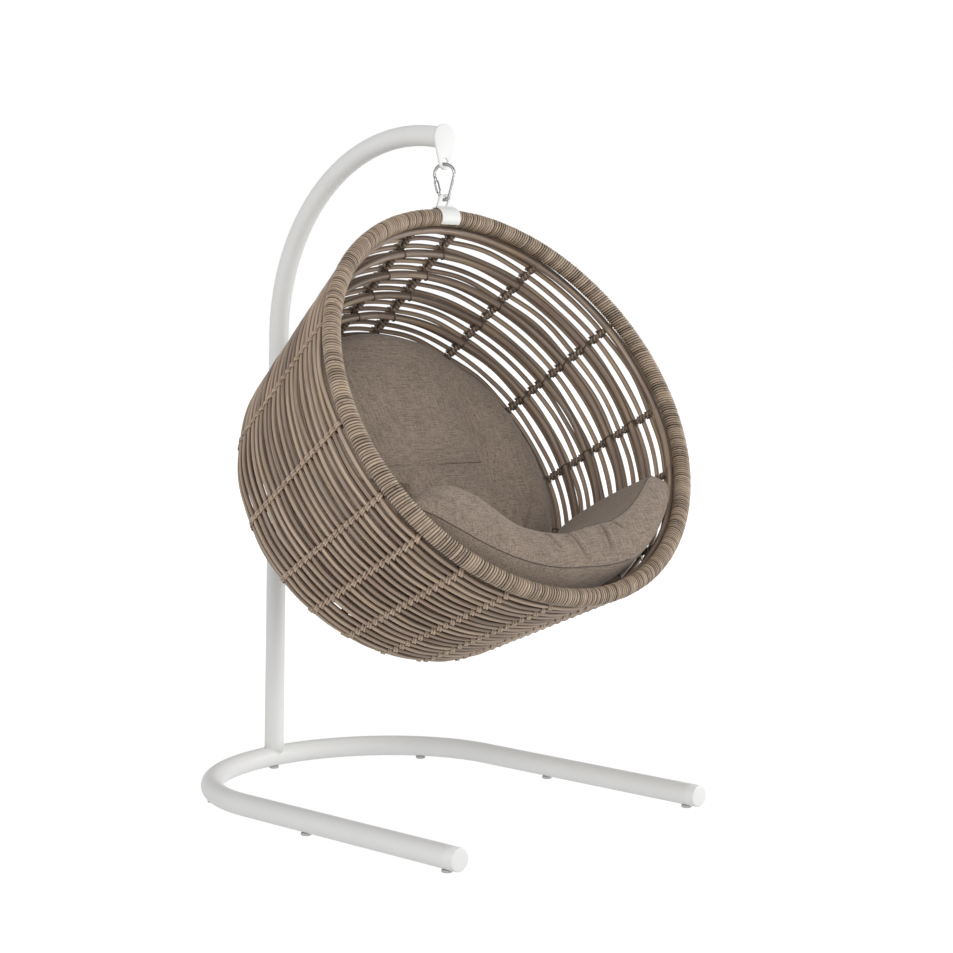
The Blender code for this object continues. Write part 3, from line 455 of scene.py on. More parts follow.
def wicker(name, dark, middle, light, across, along, strength, painted_side_shade=True):
    """Cane or strand: fibres along the UV's first axis, thin cracks, each strip's tint, whose dark end is
    painted shade, and painted shade on the sides.
    """
    look = shaded(name, 0.46, specular=0.4)
    own = look.add("ShaderNodeAttribute", "Fac", {}, attribute_name="tint")
    seed = look.maths("MULTIPLY", own, 37.0)
    where = look.add("ShaderNodeUVMap", "UV", {}, uv_map="UVMap")
    fibres = look.noise(where, (along, across, 1.0), 4.0, 0.62, seed)
    cracks = look.noise(where, (along * 0.7, across * 1.7, 1.0), 2.0, 0.5, seed)
    patches = look.noise(where, (7.0, 1.5, 1.0), 2.0, 0.5, seed)
    layers = [
        look.ramp(cracks, (0.30, (0.45, 0.42, 0.40)), (0.38, PLAIN)),
        look.ramp(patches, (0.32, (0.92, 0.82, 0.83)), (0.5, PLAIN), (0.68, (1.10, 1.06, 0.92))),
        # Tint: the middle is each strip's own random tone; values near 0 also carry painted shade where
        # strips lie in grooves, holes and inner sides.
        look.ramp(own, (0.0, (0.06, 0.048, 0.041)), (0.25, (0.66, 0.64, 0.63)), (0.5, PLAIN),
                  (1.0, (1.35, 1.34, 1.30))),
    ]
    # Painted shade: the sides of each cane, hoop and strand, where it meets its neighbours, are darker than
    # its outer and inner faces.
    if painted_side_shade:
        side_shade_wave = look.maths("SINE", look.maths("MULTIPLY", look.axis(where, "Y"), math.tau))
        layers.append(look.ramp(look.halved(side_shade_wave), (0.05, (0.92, 0.90, 0.88)), (0.30, (0.44, 0.41, 0.39)),
                                (0.58, (0.46, 0.43, 0.41)), (0.85, PLAIN)))
    colour = look.ramp(fibres, (0.30, dark), (0.5, middle), (0.70, light))
    for layer in layers:
        colour = look.times(colour, layer)
    return look.surface(colour, fibres, strength, 0.0014)


def painted(name, colour, roughness):
    """Powder coat: a fine orange-peel texture and a little uneven tone."""
    look = shaded(name, roughness, specular=0.45)
    grain = look.noise(look.place(), 900.0, 2.0)
    broad = look.noise(look.place(), 6.0, 3.0)
    tone = look.ramp(broad, (0.3, tuple(c * 0.97 for c in colour)), (0.7, colour))
    return look.surface(tone, grain, 0.15, 0.0004)


def zinc(name):
    """Plated steel: bright, with fine wear and uneven gloss."""
    look = shaded(name, 0.25, metallic=1.0)
    wear = look.noise(look.place(), 160.0, 4.0, 0.6)
    look.shade({"Roughness": look.ramp(wear, (0.3, (0.34,) * 3), (0.7, (0.18,) * 3))})
    tone = look.ramp(wear, (0.3, (0.27, 0.27, 0.265)), (0.7, (0.45, 0.45, 0.44)))
    return look.surface(tone, wear, 0.1, 0.0003)


def rubber(name, colour):
    """Moulded plastic with a fine grain."""
    look = shaded(name, 0.6)
    grain = look.noise(look.place(), 700.0, 2.0)
    tone = look.ramp(grain, (0.3, tuple(c * 0.85 for c in colour)), (0.7, colour))
    return look.surface(tone, grain, 0.2, 0.0004)


def linen(name):
    """Slubby linen: uneven threads in two directions, on the basket's axes."""
    look = shaded(name, 0.92, specular=0.15)
    base = look.add("ShaderNodeVectorRotate", "Vector", {"Vector": look.place(), "Angle": RIM_TILT},
                    rotation_type="X_AXIS")
    weft = look.noise(base, (80.0, 900.0, 1300.0), 2.0, 0.6)
    warp = look.noise(base, (1300.0, 900.0, 80.0), 2.0, 0.6)
    long_weft = look.noise(base, (24.0, 380.0, 540.0), 2.0, 0.5)
    long_warp = look.noise(base, (540.0, 380.0, 24.0), 2.0, 0.5)
    fine = look.maths("MULTIPLY", look.maths("ADD", weft, warp), 0.45)
    slubs = look.maths("MULTIPLY", look.maths("ADD", long_weft, long_warp), 0.55)
    weave = look.maths("ADD", fine, slubs)
    colour = look.ramp(weave, (0.78, (0.143, 0.109, 0.084)), (1.0, (0.214, 0.166, 0.131)),
                       (1.22, (0.300, 0.240, 0.194)))
    broad = look.noise(base, 9.0, 4.0)
    tone = look.ramp(broad, (0.3, (0.93,) * 3), (0.7, (1.05, 1.04, 1.03)))
    look.shade({"Sheen Weight": 0.12, "Sheen Roughness": 0.5})
    return look.surface(look.times(colour, tone), weave, 0.3, 0.0008)


WHITE = painted("white_powder_coat", (0.79, 0.79, 0.775), 0.45)
CAP_WHITE = painted("white_cap", (0.80, 0.80, 0.79), 0.42)
GLIDE = rubber("grey_glide", (0.50, 0.50, 0.49))
ZINC = zinc("zinc_plate")
CANE = wicker("cane", (0.195, 0.144, 0.108), (0.40, 0.308, 0.236), (0.57, 0.458, 0.362), 18.0, 5.0, 0.6)
HOOP = wicker("hoop_cane", (0.09, 0.066, 0.052), (0.275, 0.209, 0.165), (0.58, 0.478, 0.392), 40.0, 3.0, 0.6)
STRAND = wicker("strand", (0.21, 0.156, 0.116), (0.405, 0.313, 0.24), (0.56, 0.455, 0.357), 5.0, 45.0, 0.5)
WRAP = wicker("rim_wrap", (0.28, 0.214, 0.156), (0.385, 0.299, 0.222), (0.50, 0.40, 0.30), 6.0, 120.0, 0.3,
              painted_side_shade=False)
LINEN = linen("linen")
# Near-black thread: painted shade of the creases and seams it lies along.
SEAM_SHADE = rubber("seam_thread_shade", (0.06, 0.05, 0.042))


def place_on(item, body, slot, *nodes):
    """Ride on a body and stand for CAD nodes, which are hidden. The slot is not used."""
    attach(item, body)
    if nodes:
        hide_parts(*nodes)


# Stand
BEND_START_Y = MAST_Y - (MAST_BEND_START - BASE_Z) * math.tan(MAST_LEAN)
BASE_FRONT_Y = MAST_Y - BASE_LENGTH
BASE_BEND_Y = MAST_Y - BASE_BEND_DEPTH


def mast_point(turn):
    """Point on the mast's bend."""
    along = math.sin(turn)
    inward = 1.0 - math.cos(turn)
    return (0.0,
            BEND_START_Y - MAST_BEND_RADIUS * (along * math.sin(MAST_LEAN) + inward * math.cos(MAST_LEAN)),
            MAST_BEND_START + MAST_BEND_RADIUS * (along * math.cos(MAST_LEAN) - inward * math.sin(MAST_LEAN)))


def mast_turn_at(y):
    """Turn at which the mast's bend reaches this Y."""
    return math.acos(math.cos(MAST_LEAN) - (BEND_START_Y - y) / MAST_BEND_RADIUS) - MAST_LEAN


PLATE_BACK_Y = HANG_Y + PLATE_THICKNESS / 2
PLATE_Z = mast_point(mast_turn_at(PLATE_BACK_Y))[2]
WIRE_TOP_Z = PLATE_Z - PLATE_HOLE_BELOW_TUBE - PLATE_HOLE_RADIUS + WIRE_RADIUS + WIRE_CLEARANCE
WIRE_FOOT_Z = WIRE_TOP_Z - CARABINER_HEIGHT


def base_path():
    """Centre line of the base tube."""
    arms = np.linspace(BASE_FRONT_Y, BASE_BEND_Y, 24)[:-1]
    turn = np.linspace(0.0, math.pi, 97)
    side = np.full(len(arms), BASE_HALF_WIDTH)
    x = np.concatenate((-side, -BASE_HALF_WIDTH * np.cos(turn), side))
    y = np.concatenate((arms, BASE_BEND_Y + BASE_BEND_DEPTH * np.sin(turn), arms[::-1]))
    return np.stack((x, y, np.full(len(x), BASE_Z)), 1)


def make_tubes():
    """Smooth base tube, and mast with its weld."""
    base = Strips()
    base.add(base_path(), UP, BASE_RADIUS, BASE_RADIUS, TUBE_SIDES)
    place_on(base.make("base_tube_smooth", WHITE), "stand", "white_steel", "base_tube")

    mast = Strips()
    heights = np.linspace(BASE_Z + MAST_SINK, MAST_BEND_START, 30)
    path = [(0.0, MAST_Y - (z - BASE_Z) * math.tan(MAST_LEAN), z) for z in heights]
    last = mast_turn_at(PLATE_BACK_Y + FIT_GAP)
    path += [mast_point(last * i / 72) for i in range(1, 73)]
    mast.add(path, (1.0, 0.0, 0.0), MAST_RADIUS, MAST_RADIUS, TUBE_SIDES)
    turn = np.linspace(0.0, math.tau, 64, endpoint=False)
    y = MAST_RADIUS * np.sin(turn)
    weld = np.stack((MAST_RADIUS * np.cos(turn), MAST_Y + y, BASE_Z + np.sqrt(BASE_RADIUS ** 2 - y ** 2)), 1)
    facing = np.stack((np.cos(turn), np.sin(turn), 0.6 * np.ones_like(turn)), 1)
    ripple = WELD_RADIUS * (1.0 + 0.10 * np.sin(turn * WELD_RIPPLES))
    mast.add(weld, facing, ripple, ripple, 10, closed=True)
    place_on(mast.make("mast_smooth", WHITE), "stand", "white_steel", "mast_tube")


def make_caps_and_feet():
    """Caps in the base tube's ends, and glides under it."""
    cap_y = BASE_FRONT_Y - CAP_THICKNESS - FIT_GAP
    end_y = BASE_FRONT_Y + FOOT_FROM_END
    bend_x = BASE_HALF_WIDTH * math.cos(FOOT_BEND_ANGLE)
    bend_y = BASE_BEND_Y + BASE_BEND_DEPTH * math.sin(FOOT_BEND_ANGLE)
    places = [("foot_rear", 0.0, MAST_Y)]
    for side, word in ((-1, "left"), (1, "right")):
        x = side * BASE_HALF_WIDTH
        matrix = Matrix.Translation((x, cap_y, BASE_Z)) @ Matrix.Rotation(-math.pi / 2, 4, "X")
        cap = turned(f"end_cap_{word}_smooth", BASE_RADIUS, CAP_EDGE, TUBE_SIDES, CAP_WHITE, matrix)
        place_on(cap, "stand", "white_cap", f"end_cap_{word}")
        places.append((f"foot_front_{word}", x, end_y))
        places.append((f"foot_middle_{word}", x, end_y + FOOT_SPACING))
        places.append((f"foot_bend_{word}", side * bend_x, bend_y))
    for name, x, y in places:
        glide = turned(f"{name}_glide", FOOT_RADIUS, FOOT_EDGE, 40, GLIDE, Matrix.Translation((x, y, 0.0)))
        place_on(glide, "stand", "glide", name)


# Hanger
def plate(name, outlines, thickness, edge, used, matrix):
    """Flat plate with rounded edges. The later outlines are holes."""
    curve = bpy.data.curves.new(name, "CURVE")
    curve.dimensions = "2D"
    curve.fill_mode = "BOTH"
    curve.extrude = thickness / 2 - edge
    curve.bevel_depth = edge
    curve.bevel_resolution = 3
    curve.offset = -edge
    for outline in outlines:
        spline = curve.splines.new("POLY")
        spline.points.add(len(outline) - 1)
        for target, point in zip(spline.points, outline):
            target.co = (*point, 0.0, 1.0)
        spline.use_cyclic_u = True
    source = linked(name, curve)
    graph = bpy.context.evaluated_depsgraph_get()
    mesh = bpy.data.meshes.new_from_object(source.evaluated_get(graph))
    work = bmesh.new()
    work.from_mesh(mesh)
    bpy.data.objects.remove(source)
    bpy.data.meshes.remove(mesh)
    bmesh.ops.remove_doubles(work, verts=work.verts, dist=1e-6)
    return finished(name, work, used, 35.0, matrix)


def arc(x, y, radius, start, end, steps):
    """Points on an arc, angles in degrees."""
    angles = np.radians(np.linspace(start, end, steps + 1))
    return [(x + radius * math.cos(a), y + radius * math.sin(a)) for a in angles]


def make_plate():
    """Pear-shaped plate across the mast's end, with the carabiner's hole."""
    drop = PLATE_HOLE_BELOW_TUBE
    lean = math.degrees(math.asin((PLATE_TOP_RADIUS - PLATE_FOOT_RADIUS) / drop))
    outline = arc(0.0, 0.0, PLATE_TOP_RADIUS, -lean, 180.0 + lean, 60)
    outline += arc(0.0, -drop, PLATE_FOOT_RADIUS, 180.0 + lean, 360.0 - lean, 40)
    hole = arc(0.0, -drop, PLATE_HOLE_RADIUS, 360.0, 0.0, 48)[:-1]
    upright = Matrix.Translation((0.0, HANG_Y, PLATE_Z)) @ Matrix.Rotation(math.pi / 2, 4, "X")
    item = plate("hanger_plate_smooth", [outline, hole], PLATE_THICKNESS, PLATE_EDGE, WHITE, upright)
    place_on(item, "stand", "white_steel", "hanger_plate")


def on_carabiner(flat):
    """Row-frame places of (across, height) points in the carabiner's plane."""
    return np.array((0.0, HANG_Y, 0.0)) + flat[:, :1] * CARABINER_ACROSS + flat[:, 1:] * UP


def make_carabiner():
    """Wire loop, gate bar and knurled sleeve."""
    top_z = WIRE_TOP_Z - CARABINER_TOP_RADIUS
    foot_z = WIRE_FOOT_Z + CARABINER_FOOT_RADIUS
    lean = math.degrees(math.asin((CARABINER_TOP_RADIUS - CARABINER_FOOT_RADIUS) / (top_z - foot_z)))
    lower = np.array(arc(0.0, foot_z, CARABINER_FOOT_RADIUS, 180.0 + lean, 360.0 - lean, 30))
    upper = np.array(arc(0.0, top_z, CARABINER_TOP_RADIUS, -lean, 180.0 + lean, 44))
    leg = lower[-1] + (upper[0] - lower[-1]) * (np.arange(1, 12) / 12)[:, None]
    wire = Strips()
    wire.add(on_carabiner(np.concatenate((lower, leg, upper))), CARABINER_SIDE, WIRE_RADIUS, WIRE_RADIUS, 20)
    place_on(wire.make("carabiner_wire", ZINC), "carabiner", "zinc", "carabiner_body")

    foot = lower[0]
    length = np.linalg.norm(upper[-1] - foot)
    along = (upper[-1] - foot) / length
    steps = np.concatenate((GATE_FOOT_STEPS, length * np.array(GATE_SHARES)))
    steps = np.minimum(steps, length - GATE_HEAD_GAP) + GATE_FOOT_GAP
    girths = np.array(GATE_GIRTHS) * GATE_RADIUS
    gate = Strips()
    gate.add(on_carabiner(foot + steps[:, None] * along), CARABINER_SIDE, girths, girths, 20)
    place_on(gate.make("carabiner_gate_bar", ZINC), "gate", "zinc", "carabiner_gate")

    share = np.linspace(0.0, 1.0, 41)
    stations = np.concatenate((share, (1.0, 0.0)))
    line = foot + (GATE_PIN_HEIGHT + SLEEVE_FROM_PIN + SLEEVE_LENGTH * stations)[:, None] * along
    front = np.cross(along[0] * CARABINER_ACROSS + along[1] * UP, CARABINER_SIDE)
    around = (math.tau * np.arange(72) / 72)[:, None]
    edge = np.minimum(np.minimum(share, 1.0 - share) / SLEEVE_END_SHARE, 1.0)
    body = SLEEVE_RADIUS * (SLEEVE_END_GIRTH + (1.0 - SLEEVE_END_GIRTH) * np.sqrt(edge)) - KNURL_FLOOR
    band = np.where(np.abs(share - 0.5) < KNURL_HALF_SHARE, KNURL_DEPTH, 0.0)
    outer = body[:, None] + np.abs(np.sin(KNURL_WAVES * around[:, 0])) * band[:, None]
    radius = np.concatenate((outer, np.full((2, len(around)), SLEEVE_BORE_RADIUS)))
    rings = radius[:, :, None] * (np.cos(around) * CARABINER_SIDE + np.sin(around) * front)
    rings = on_carabiner(line)[:, None] + rings
    sleeve = Strips()
    sleeve.grid(rings[:, ::-1], np.linspace(0.0, 2.0 * SLEEVE_LENGTH, len(stations) + 1), True, 0.5)
    place_on(sleeve.make("lock_sleeve_knurled", ZINC), "sleeve", "zinc", "lock_sleeve")
    for name in ("gate_pin", "gate_spring"):
        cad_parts[name].data.materials.clear()
        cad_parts[name].data.materials.append(ZINC)


def make_bracket():
    """Strap folded over the rim's top, its two ends meeting in a lug with a hole."""
    hole_z = WIRE_FOOT_Z - LUG_HOLE_BELOW_WIRE
    lug_top = hole_z + LUG_HOLE_RADIUS + LUG_LIP
    half = STRAP_THICKNESS / 2
    reach = RIM_RADIUS + STRAP_CLEARANCE + half
    bend_y = half + STRAP_FOLD
    meet = math.acos(bend_y / (reach + STRAP_FOLD))
    bend_z = RIM_TOP_HEIGHT + (reach + STRAP_FOLD) * math.sin(meet)
    lower = RIM_TOP_HEIGHT + 0.5 * reach
    bracket = Strips()
    for sign, stop in ((-1, -40.0), (1, -20.0)):
        profile = [(half, z) for z in np.linspace(lug_top, bend_z, 24)]
        profile += arc(bend_y, bend_z, STRAP_FOLD, 180.0, 180.0 + math.degrees(meet), 10)[1:]
        profile += arc(0.0, RIM_TOP_HEIGHT, reach, math.degrees(meet), stop, 56)[1:]
        y, z = np.array(profile).T
        none = np.zeros(len(z))
        share = np.clip((lug_top - z) / (lug_top - lower), 0.0, 1.0)
        width = LUG_TOP_WIDTH / 2 + (STRAP_WIDTH - LUG_TOP_WIDTH) / 2 * eased(share)
        top_share = np.clip((lug_top - z) / LUG_CORNER, 0.0, 1.0)
        width = width - LUG_CORNER * (1.0 - np.sqrt(1.0 - (1.0 - top_share) ** 2))
        width = np.where(np.arange(len(z)) > 30, STRAP_WIDTH / 2, width)
        outside = np.stack((none, np.gradient(z) * sign, -np.gradient(y)), 1)
        bracket.add(np.stack((none, HANG_Y + sign * y, z), 1), outside, width, half, 28, power=0.22)
    item = bracket.make("rim_bracket_folded", WHITE)
    rod = [(0.0, -0.02), (LUG_HOLE_RADIUS, -0.02), (LUG_HOLE_RADIUS, 0.02), (0.0, 0.02)]
    level = Matrix.Translation((0.0, HANG_Y, hole_z)) @ Matrix.Rotation(math.pi / 2, 4, "X")
    cutter = lathe("lug_hole", rod, 48, WHITE, level)
    cut = item.modifiers.new("hole", "BOOLEAN")
    cut.operation = "DIFFERENCE"
    cut.object = cutter
    cut.solver = "EXACT"
    settled(item)
    bpy.data.objects.remove(cutter)
    item.data.shade_smooth()
    item.data.set_sharp_from_angle(angle=math.radians(45))
    place_on(item, "basket", "white_steel", "rim_bracket")


# Rim: turns of strand, points on each turn and round the tube, and the way the strand lies
RIM_TURNS = 480
RIM_STEPS = 6
RIM_SIDES = 40
RIM_WOUND_LENGTH = 3.816
RIM_RIDGE = 1.29
RIM_LEAN = 0.6
RIM_JITTER = 0.06
RIM_GROOVE = 0.0030
RIM_SWELL = 0.0031
RIM_STRAND_SPREAD = 0.0004
RIM_KNUCKLE = 0.0005


def make_rim():
    """Tube wound close with strand. The turns lean a little and meet in a ridge on the outer side."""
    count = RIM_TURNS * RIM_STEPS
    turn = math.tau * np.arange(RIM_SIDES) / RIM_SIDES
    from_ridge = np.minimum((turn - RIM_RIDGE) % math.tau, (RIM_RIDGE - turn) % math.tau)
    numbers = np.arange(RIM_TURNS)
    along = np.arange(count) / RIM_STEPS
    uneven = np.interp(along, numbers, CHANCE.normal(0.0, RIM_JITTER, RIM_TURNS), period=RIM_TURNS)
    skew = np.interp(along, numbers, CHANCE.normal(0.0, RIM_JITTER, RIM_TURNS), period=RIM_TURNS)
    phase = (along + uneven)[:, None] + (RIM_LEAN + skew[:, None]) * np.cos(turn - RIM_RIDGE)
    angle = 360.0 * phase / RIM_TURNS
    middle = ring(0.0, 0.0, angle)
    ahead = unit(ring(0.0, 0.0, angle + 0.1) - ring(0.0, 0.0, angle - 0.1))
    out = np.cross(np.broadcast_to(BASKET_FRONT, middle.shape), ahead)
    share = (np.arange(count) % RIM_STEPS) / RIM_STEPS
    which = np.arange(count) // RIM_STEPS
    lift = np.abs(np.sin(math.pi * share)) ** 0.7
    thick = CHANCE.uniform(-RIM_STRAND_SPREAD, RIM_STRAND_SPREAD, RIM_TURNS)[which]
    knuckle = RIM_KNUCKLE * np.exp(-(from_ridge / 0.12) ** 2)
    radius = (RIM_RADIUS - RIM_GROOVE + RIM_SWELL * lift + thick)[:, None] + knuckle
    spoke = np.cos(turn)[:, None] * BASKET_FRONT + np.sin(turn)[:, None] * out
    # Each turn has its own random tone. Painted shade: each turn is darkened at its edges, in the grooves
    # between turns.
    tone = CHANCE.uniform(0.30, 0.80, RIM_TURNS)[which] - np.where(share == 0.0, 1.0, 0.0)
    tone = tone - 0.36 * np.where((share < 0.2) | (share > 0.8), 1.0, 0.0)
    strips = Strips()
    travelled = np.linspace(0.0, RIM_WOUND_LENGTH, count + 1)
    strips.grid(middle + radius[:, :, None] * spoke, travelled, True, np.clip(tone, 0.0, 1.0))
    place_on(strips.make("rim_wrapped", WRAP), "basket", "wrapped_rattan", "rim_ring")


# Wicker: how far hoops and canes stray in the widest bay, and the canes' pinch at the ties
HOOP_DRIFT = 0.0012
HOOP_BOW = 0.0008
CANE_DRIFT = 0.0052
CANE_BOW = 0.0035
CANE_PINCH = 0.12
CANE_PINCH_WIDTH = 0.012
CANE_STEPS = 450


def bay(angle):
    """For each angle: share of the way between its two ribs, the gap in degrees and the gap's number."""
    ribs = np.array(RIB_ANGLES + [RIB_ANGLES[0] + 360.0])
    wrapped = (np.asarray(angle) - ribs[0]) % 360.0 + ribs[0]
    number = np.clip(np.searchsorted(ribs, wrapped, side="right") - 1, 0, len(ribs) - 2)
    width = ribs[number + 1] - ribs[number]
    return (wrapped - ribs[number]) / width, width, number


def make_hoops():
    """Thick hoops inside the ribs, a little lumpy, as real cane is."""
    angle = np.linspace(0.0, 360.0, 361)[:-1]
    turn = np.radians(angle)
    share, width, number = bay(angle)
    for index, length in enumerate(HOOP_LENGTHS):
        tone = CHANCE.uniform(0.3, 0.7, len(RIB_ANGLES))[number]
        slack = np.sin(math.pi * share) ** 2
        drift = CHANCE.normal(0.0, HOOP_DRIFT, len(RIB_ANGLES))[number] * slack
        path = on_wall(length + drift, HOOP_OUTWARD + HOOP_BOW * (slack * width / WIDEST_BAY), angle)
        lump = 1.0 + 0.025 * np.sin(turn * 5.0 + index) + 0.02 * np.sin(turn * 13.0 + 2 * index)
        girth = HOOP_RADIUS * lump
        strips = Strips()
        strips.add(path, outward_at(length, angle), girth, girth, 16, closed=True, tint=tone)
        place_on(strips.make(f"hoop_{index}_cane", HOOP), "basket", "rattan", f"hoop_{index}")


def make_canes():
    """Thin canes outside the ribs. Each goes round three times and is pinched where it is tied."""
    first = LOWER_RIBS[3]
    step = LOWER_RIBS[3] - LOWER_RIBS[2]
    rows = np.repeat(np.arange(CANE_ROWS), CANE_STEPS)
    once = np.linspace(first, first + 360.0, CANE_STEPS, endpoint=False)
    angle = np.concatenate([once + 360.0 * row for row in range(CANE_ROWS)])
    change = eased(np.clip((once - (first + 360.0 - step)) / step, 0.0, 1.0))
    share, width, number = bay(angle)
    slack = np.sin(math.pi * share) ** 2 * (width / WIDEST_BAY)
    gap_width = np.minimum(share, 1.0 - share) * np.radians(width) * 0.55
    pinch = 1.0 - CANE_PINCH * np.exp(-(gap_width / CANE_PINCH_WIDTH) ** 2)
    each = (CANE_ROWS, len(RIB_ANGLES))
    for index in range(CANE_COUNT):
        starts = ROW_LENGTHS[index * CANE_ROWS:(index + 1) * CANE_ROWS]
        length = np.concatenate([start + CANE_ROW_PITCH * change for start in starts[:-1]]
                                + [np.full(CANE_STEPS, starts[-1])])
        drift = CHANCE.uniform(-1.0, 1.0, each)[rows, number] * CANE_DRIFT * slack
        bow = CHANCE.uniform(0.3, 1.0, each)[rows, number] * CANE_BOW * slack
        tone = CHANCE.uniform(0.25, 0.75, each)[rows, number]
        girth = CANE_RADIUS * pinch * (0.97 + 0.05 * np.sin(angle * 0.11 + index * 2.0))
        path = on_wall(length + drift, CANE_OUTWARD + bow, angle)
        strips = Strips()
        strips.add(path, outward_at(length, angle), girth * 1.06, girth, 12, tint=tone)
        place_on(strips.make(f"cane_{index + 1}_row", CANE), "basket", "rattan", f"cane_{index + 1}")


# One row's tie in millimetres: along the rib, aside, outward, and the way each point faces.
# It goes aslant over a cane, then twice round the rib on the way to the next cane.
TIE = np.array((
    (-9.6, -6.0, 1.0, -0.3, -0.9, 0.2),
    (-8.6, -4.6, 11.0, -1.0, 0.0, 0.1),
    (-4.6, -2.4, 18.0, -0.5, 0.0, 0.85),
    (0.0, 0.0, 20.3, 0.0, 0.0, 1.0),
    (4.6, 2.4, 18.0, 0.5, 0.0, 0.85),
    (8.6, 4.6, 11.0, 1.0, 0.0, 0.1),
    (9.6, 6.0, 1.0, 0.3, 0.9, 0.2),
    (11.4, 3.0, -5.6, 0.0, 0.4, -0.9),
    (12.6, -3.0, -5.6, 0.0, -0.4, -0.9),
    (13.6, -6.2, 0.0, 0.0, -1.0, 0.0),
    (14.6, -3.0, 6.0, 0.0, -0.4, 0.9),
    (15.6, 3.0, 6.0, 0.0, 0.4, 0.9),
    (16.8, 6.2, 0.0, 0.0, 1.0, 0.0),
    (17.8, 3.0, -5.6, 0.0, 0.4, -0.9),
    (18.8, -3.0, -5.6, 0.0, -0.4, -0.9),
))
TIE_PLACES = TIE[:, :3] * 0.001
TIE_FACING = TIE[:, 3:]
TIE_STRAY = np.array((0.0005, 0.0005, 0.0002))
SECOND_TIE_STRAY = np.array((0.0004, 0.0004, 0.00012))
OVER_POINTS = 7
SECOND_TIE_ASIDE = 0.0072
ROPE_ARC = np.radians(np.linspace(-110.0, 110.0, 11))
ROPE_TAPER = 0.0030
ROPE_PITCH = 0.0062
ROPE_REACH = 0.0074
ROPE_LEAN = 0.0042
ROPE_FROM_HOOPS = (0.0145, 0.0140)
BAND_ARC = np.radians(np.linspace(-125.0, 125.0, 22))
BAND_REACH = HOOP_RADIUS + 0.0013
SHADE_PIECE_ASIDE = 0.0095
SHADE_PIECE_HALF = 0.0085
RIB_START = RIM_RADIUS * 0.9
RIB_PAST_WALL = 0.026

# Half width and half height of each kind of strand
LONG_TIE = (0.0038, 0.0014)
SECOND_TIE = (0.0036, 0.0013)
ROPE = (0.0033, 0.0015)
HOOP_BAND = (0.0026, 0.0012)
SHADE_PIECE = (0.0030, 0.0034)
BACK_TIE = (0.0031, 0.0012)
BACK_COIL = (0.0072, 0.0060)


def strand(strips, path, facing, size, tint):
    """Flat strand of a half width and half height."""
    strips.add(path, facing, *size, 6, tint=tint, power=0.7)


def add_rib(strips, length, angle, sides):
    """Bare rib along the wall."""
    path = on_wall(length, 0.0, angle)
    strips.add(path, outward_at(length, angle), RIB_RADIUS, RIB_RADIUS, sides, tint=0.4)


def add_long_tie(strips, angle):
    """The strand that runs the whole rib, over each cane and round the rib."""
    points = []
    for row in ROW_LENGTHS:
        loose = TIE_PLACES + CHANCE.normal(0.0, 1.0, TIE_PLACES.shape) * TIE_STRAY
        points.append(loose + np.array((row, 0.0, 0.0)))
    length, across, out = smooth_path(np.concatenate(points), 3).T
    facing = smooth_path(np.tile(TIE_FACING, (len(ROW_LENGTHS), 1)), 3)
    upright = outward_at(length, angle)
    ahead = unit(on_wall(length + 0.001, 0.0, angle) - on_wall(length - 0.001, 0.0, angle))
    aside = np.cross(ahead, upright)
    step = on_wall(length, 0.0, angle, 0.001) - on_wall(length, 0.0, angle)
    aside *= np.sign(np.sum(aside * step, axis=1, keepdims=True))
    normal = facing[:, :1] * ahead - facing[:, 1:2] * aside + facing[:, 2:] * upright
    # Partly painted shade: the strand is made darker the further it lies inside the wall, on the basket's
    # shaded inside.
    tone = np.clip(0.22 + out * 20.0, 0.05, 0.75)
    strand(strips, on_wall(length, out, angle, -across), normal, LONG_TIE, tone)


def add_second_ties(strips, angle):
    """A second strand over each cane, beside the first."""
    for row in ROW_LENGTHS:
        loose = CHANCE.normal(0.0, 1.0, (OVER_POINTS, 3)) * SECOND_TIE_STRAY
        loose = TIE_PLACES[:OVER_POINTS] + loose + np.array((row, SECOND_TIE_ASIDE, 0.0))
        length, across, out = smooth_path(loose, 3).T
        middle = on_wall(np.full(len(length), row), CANE_OUTWARD, angle, -across)
        path = on_wall(length, out, angle, -across)
        strand(strips, path, path - middle, SECOND_TIE, CHANCE.uniform(0.5, 0.8))


def add_rope(strips, angle):
    """Slanting turns on the rib's inner side between the hoops, dark and less dark by turns."""
    past = np.clip((np.abs(ROPE_ARC) - 1.05) / 0.87, 0.0, 1.0)
    reach = ROPE_REACH - ROPE_TAPER * past ** 2
    size = (ROPE[0] * (1.0 - 0.5 * past), ROPE[1])
    after, before = ROPE_FROM_HOOPS
    for start, end in zip(HOOP_LENGTHS, HOOP_LENGTHS[1:]):
        for count, place in enumerate(np.arange(start + after, end - before, ROPE_PITCH)):
            length = place + ROPE_LEAN * np.sin(ROPE_ARC)
            path = on_wall(length, -reach * np.cos(ROPE_ARC), angle, reach * np.sin(ROPE_ARC))
            middle = on_wall(np.full(len(path), place), 0.0, angle)
            tone = 0.06 + 0.20 * (count % 2) + CHANCE.uniform(0.0, 0.10)
            strand(strips, path, path - middle, size, tone)


def add_bands(strips, angle):
    """A dark strand round each hoop, and short dark pieces beside the rib behind each cane, painted shade
    filling the holes beside the ties.
    """
    for hoop in HOOP_LENGTHS[1:]:
        inward = HOOP_OUTWARD - BAND_REACH * np.cos(BAND_ARC)
        path = on_wall(hoop + BAND_REACH * np.sin(BAND_ARC), inward, angle, 0.003 * np.sin(BAND_ARC))
        middle = on_wall(np.full(len(path), hoop), HOOP_OUTWARD, angle)
        strand(strips, path, path - middle, HOOP_BAND, 0.06)
    # Painted shade: dark pieces beside the rib that fill the holes beside the ties.
    for row in ROW_LENGTHS:
        length = row + np.linspace(-SHADE_PIECE_HALF, SHADE_PIECE_HALF, 3)
        for side in (-SHADE_PIECE_ASIDE, SHADE_PIECE_ASIDE):
            path = on_wall(length, 0.0008, angle, np.full(3, side))
            strips.add(path, outward_at(length, angle), *SHADE_PIECE, 6, tint=0.08)


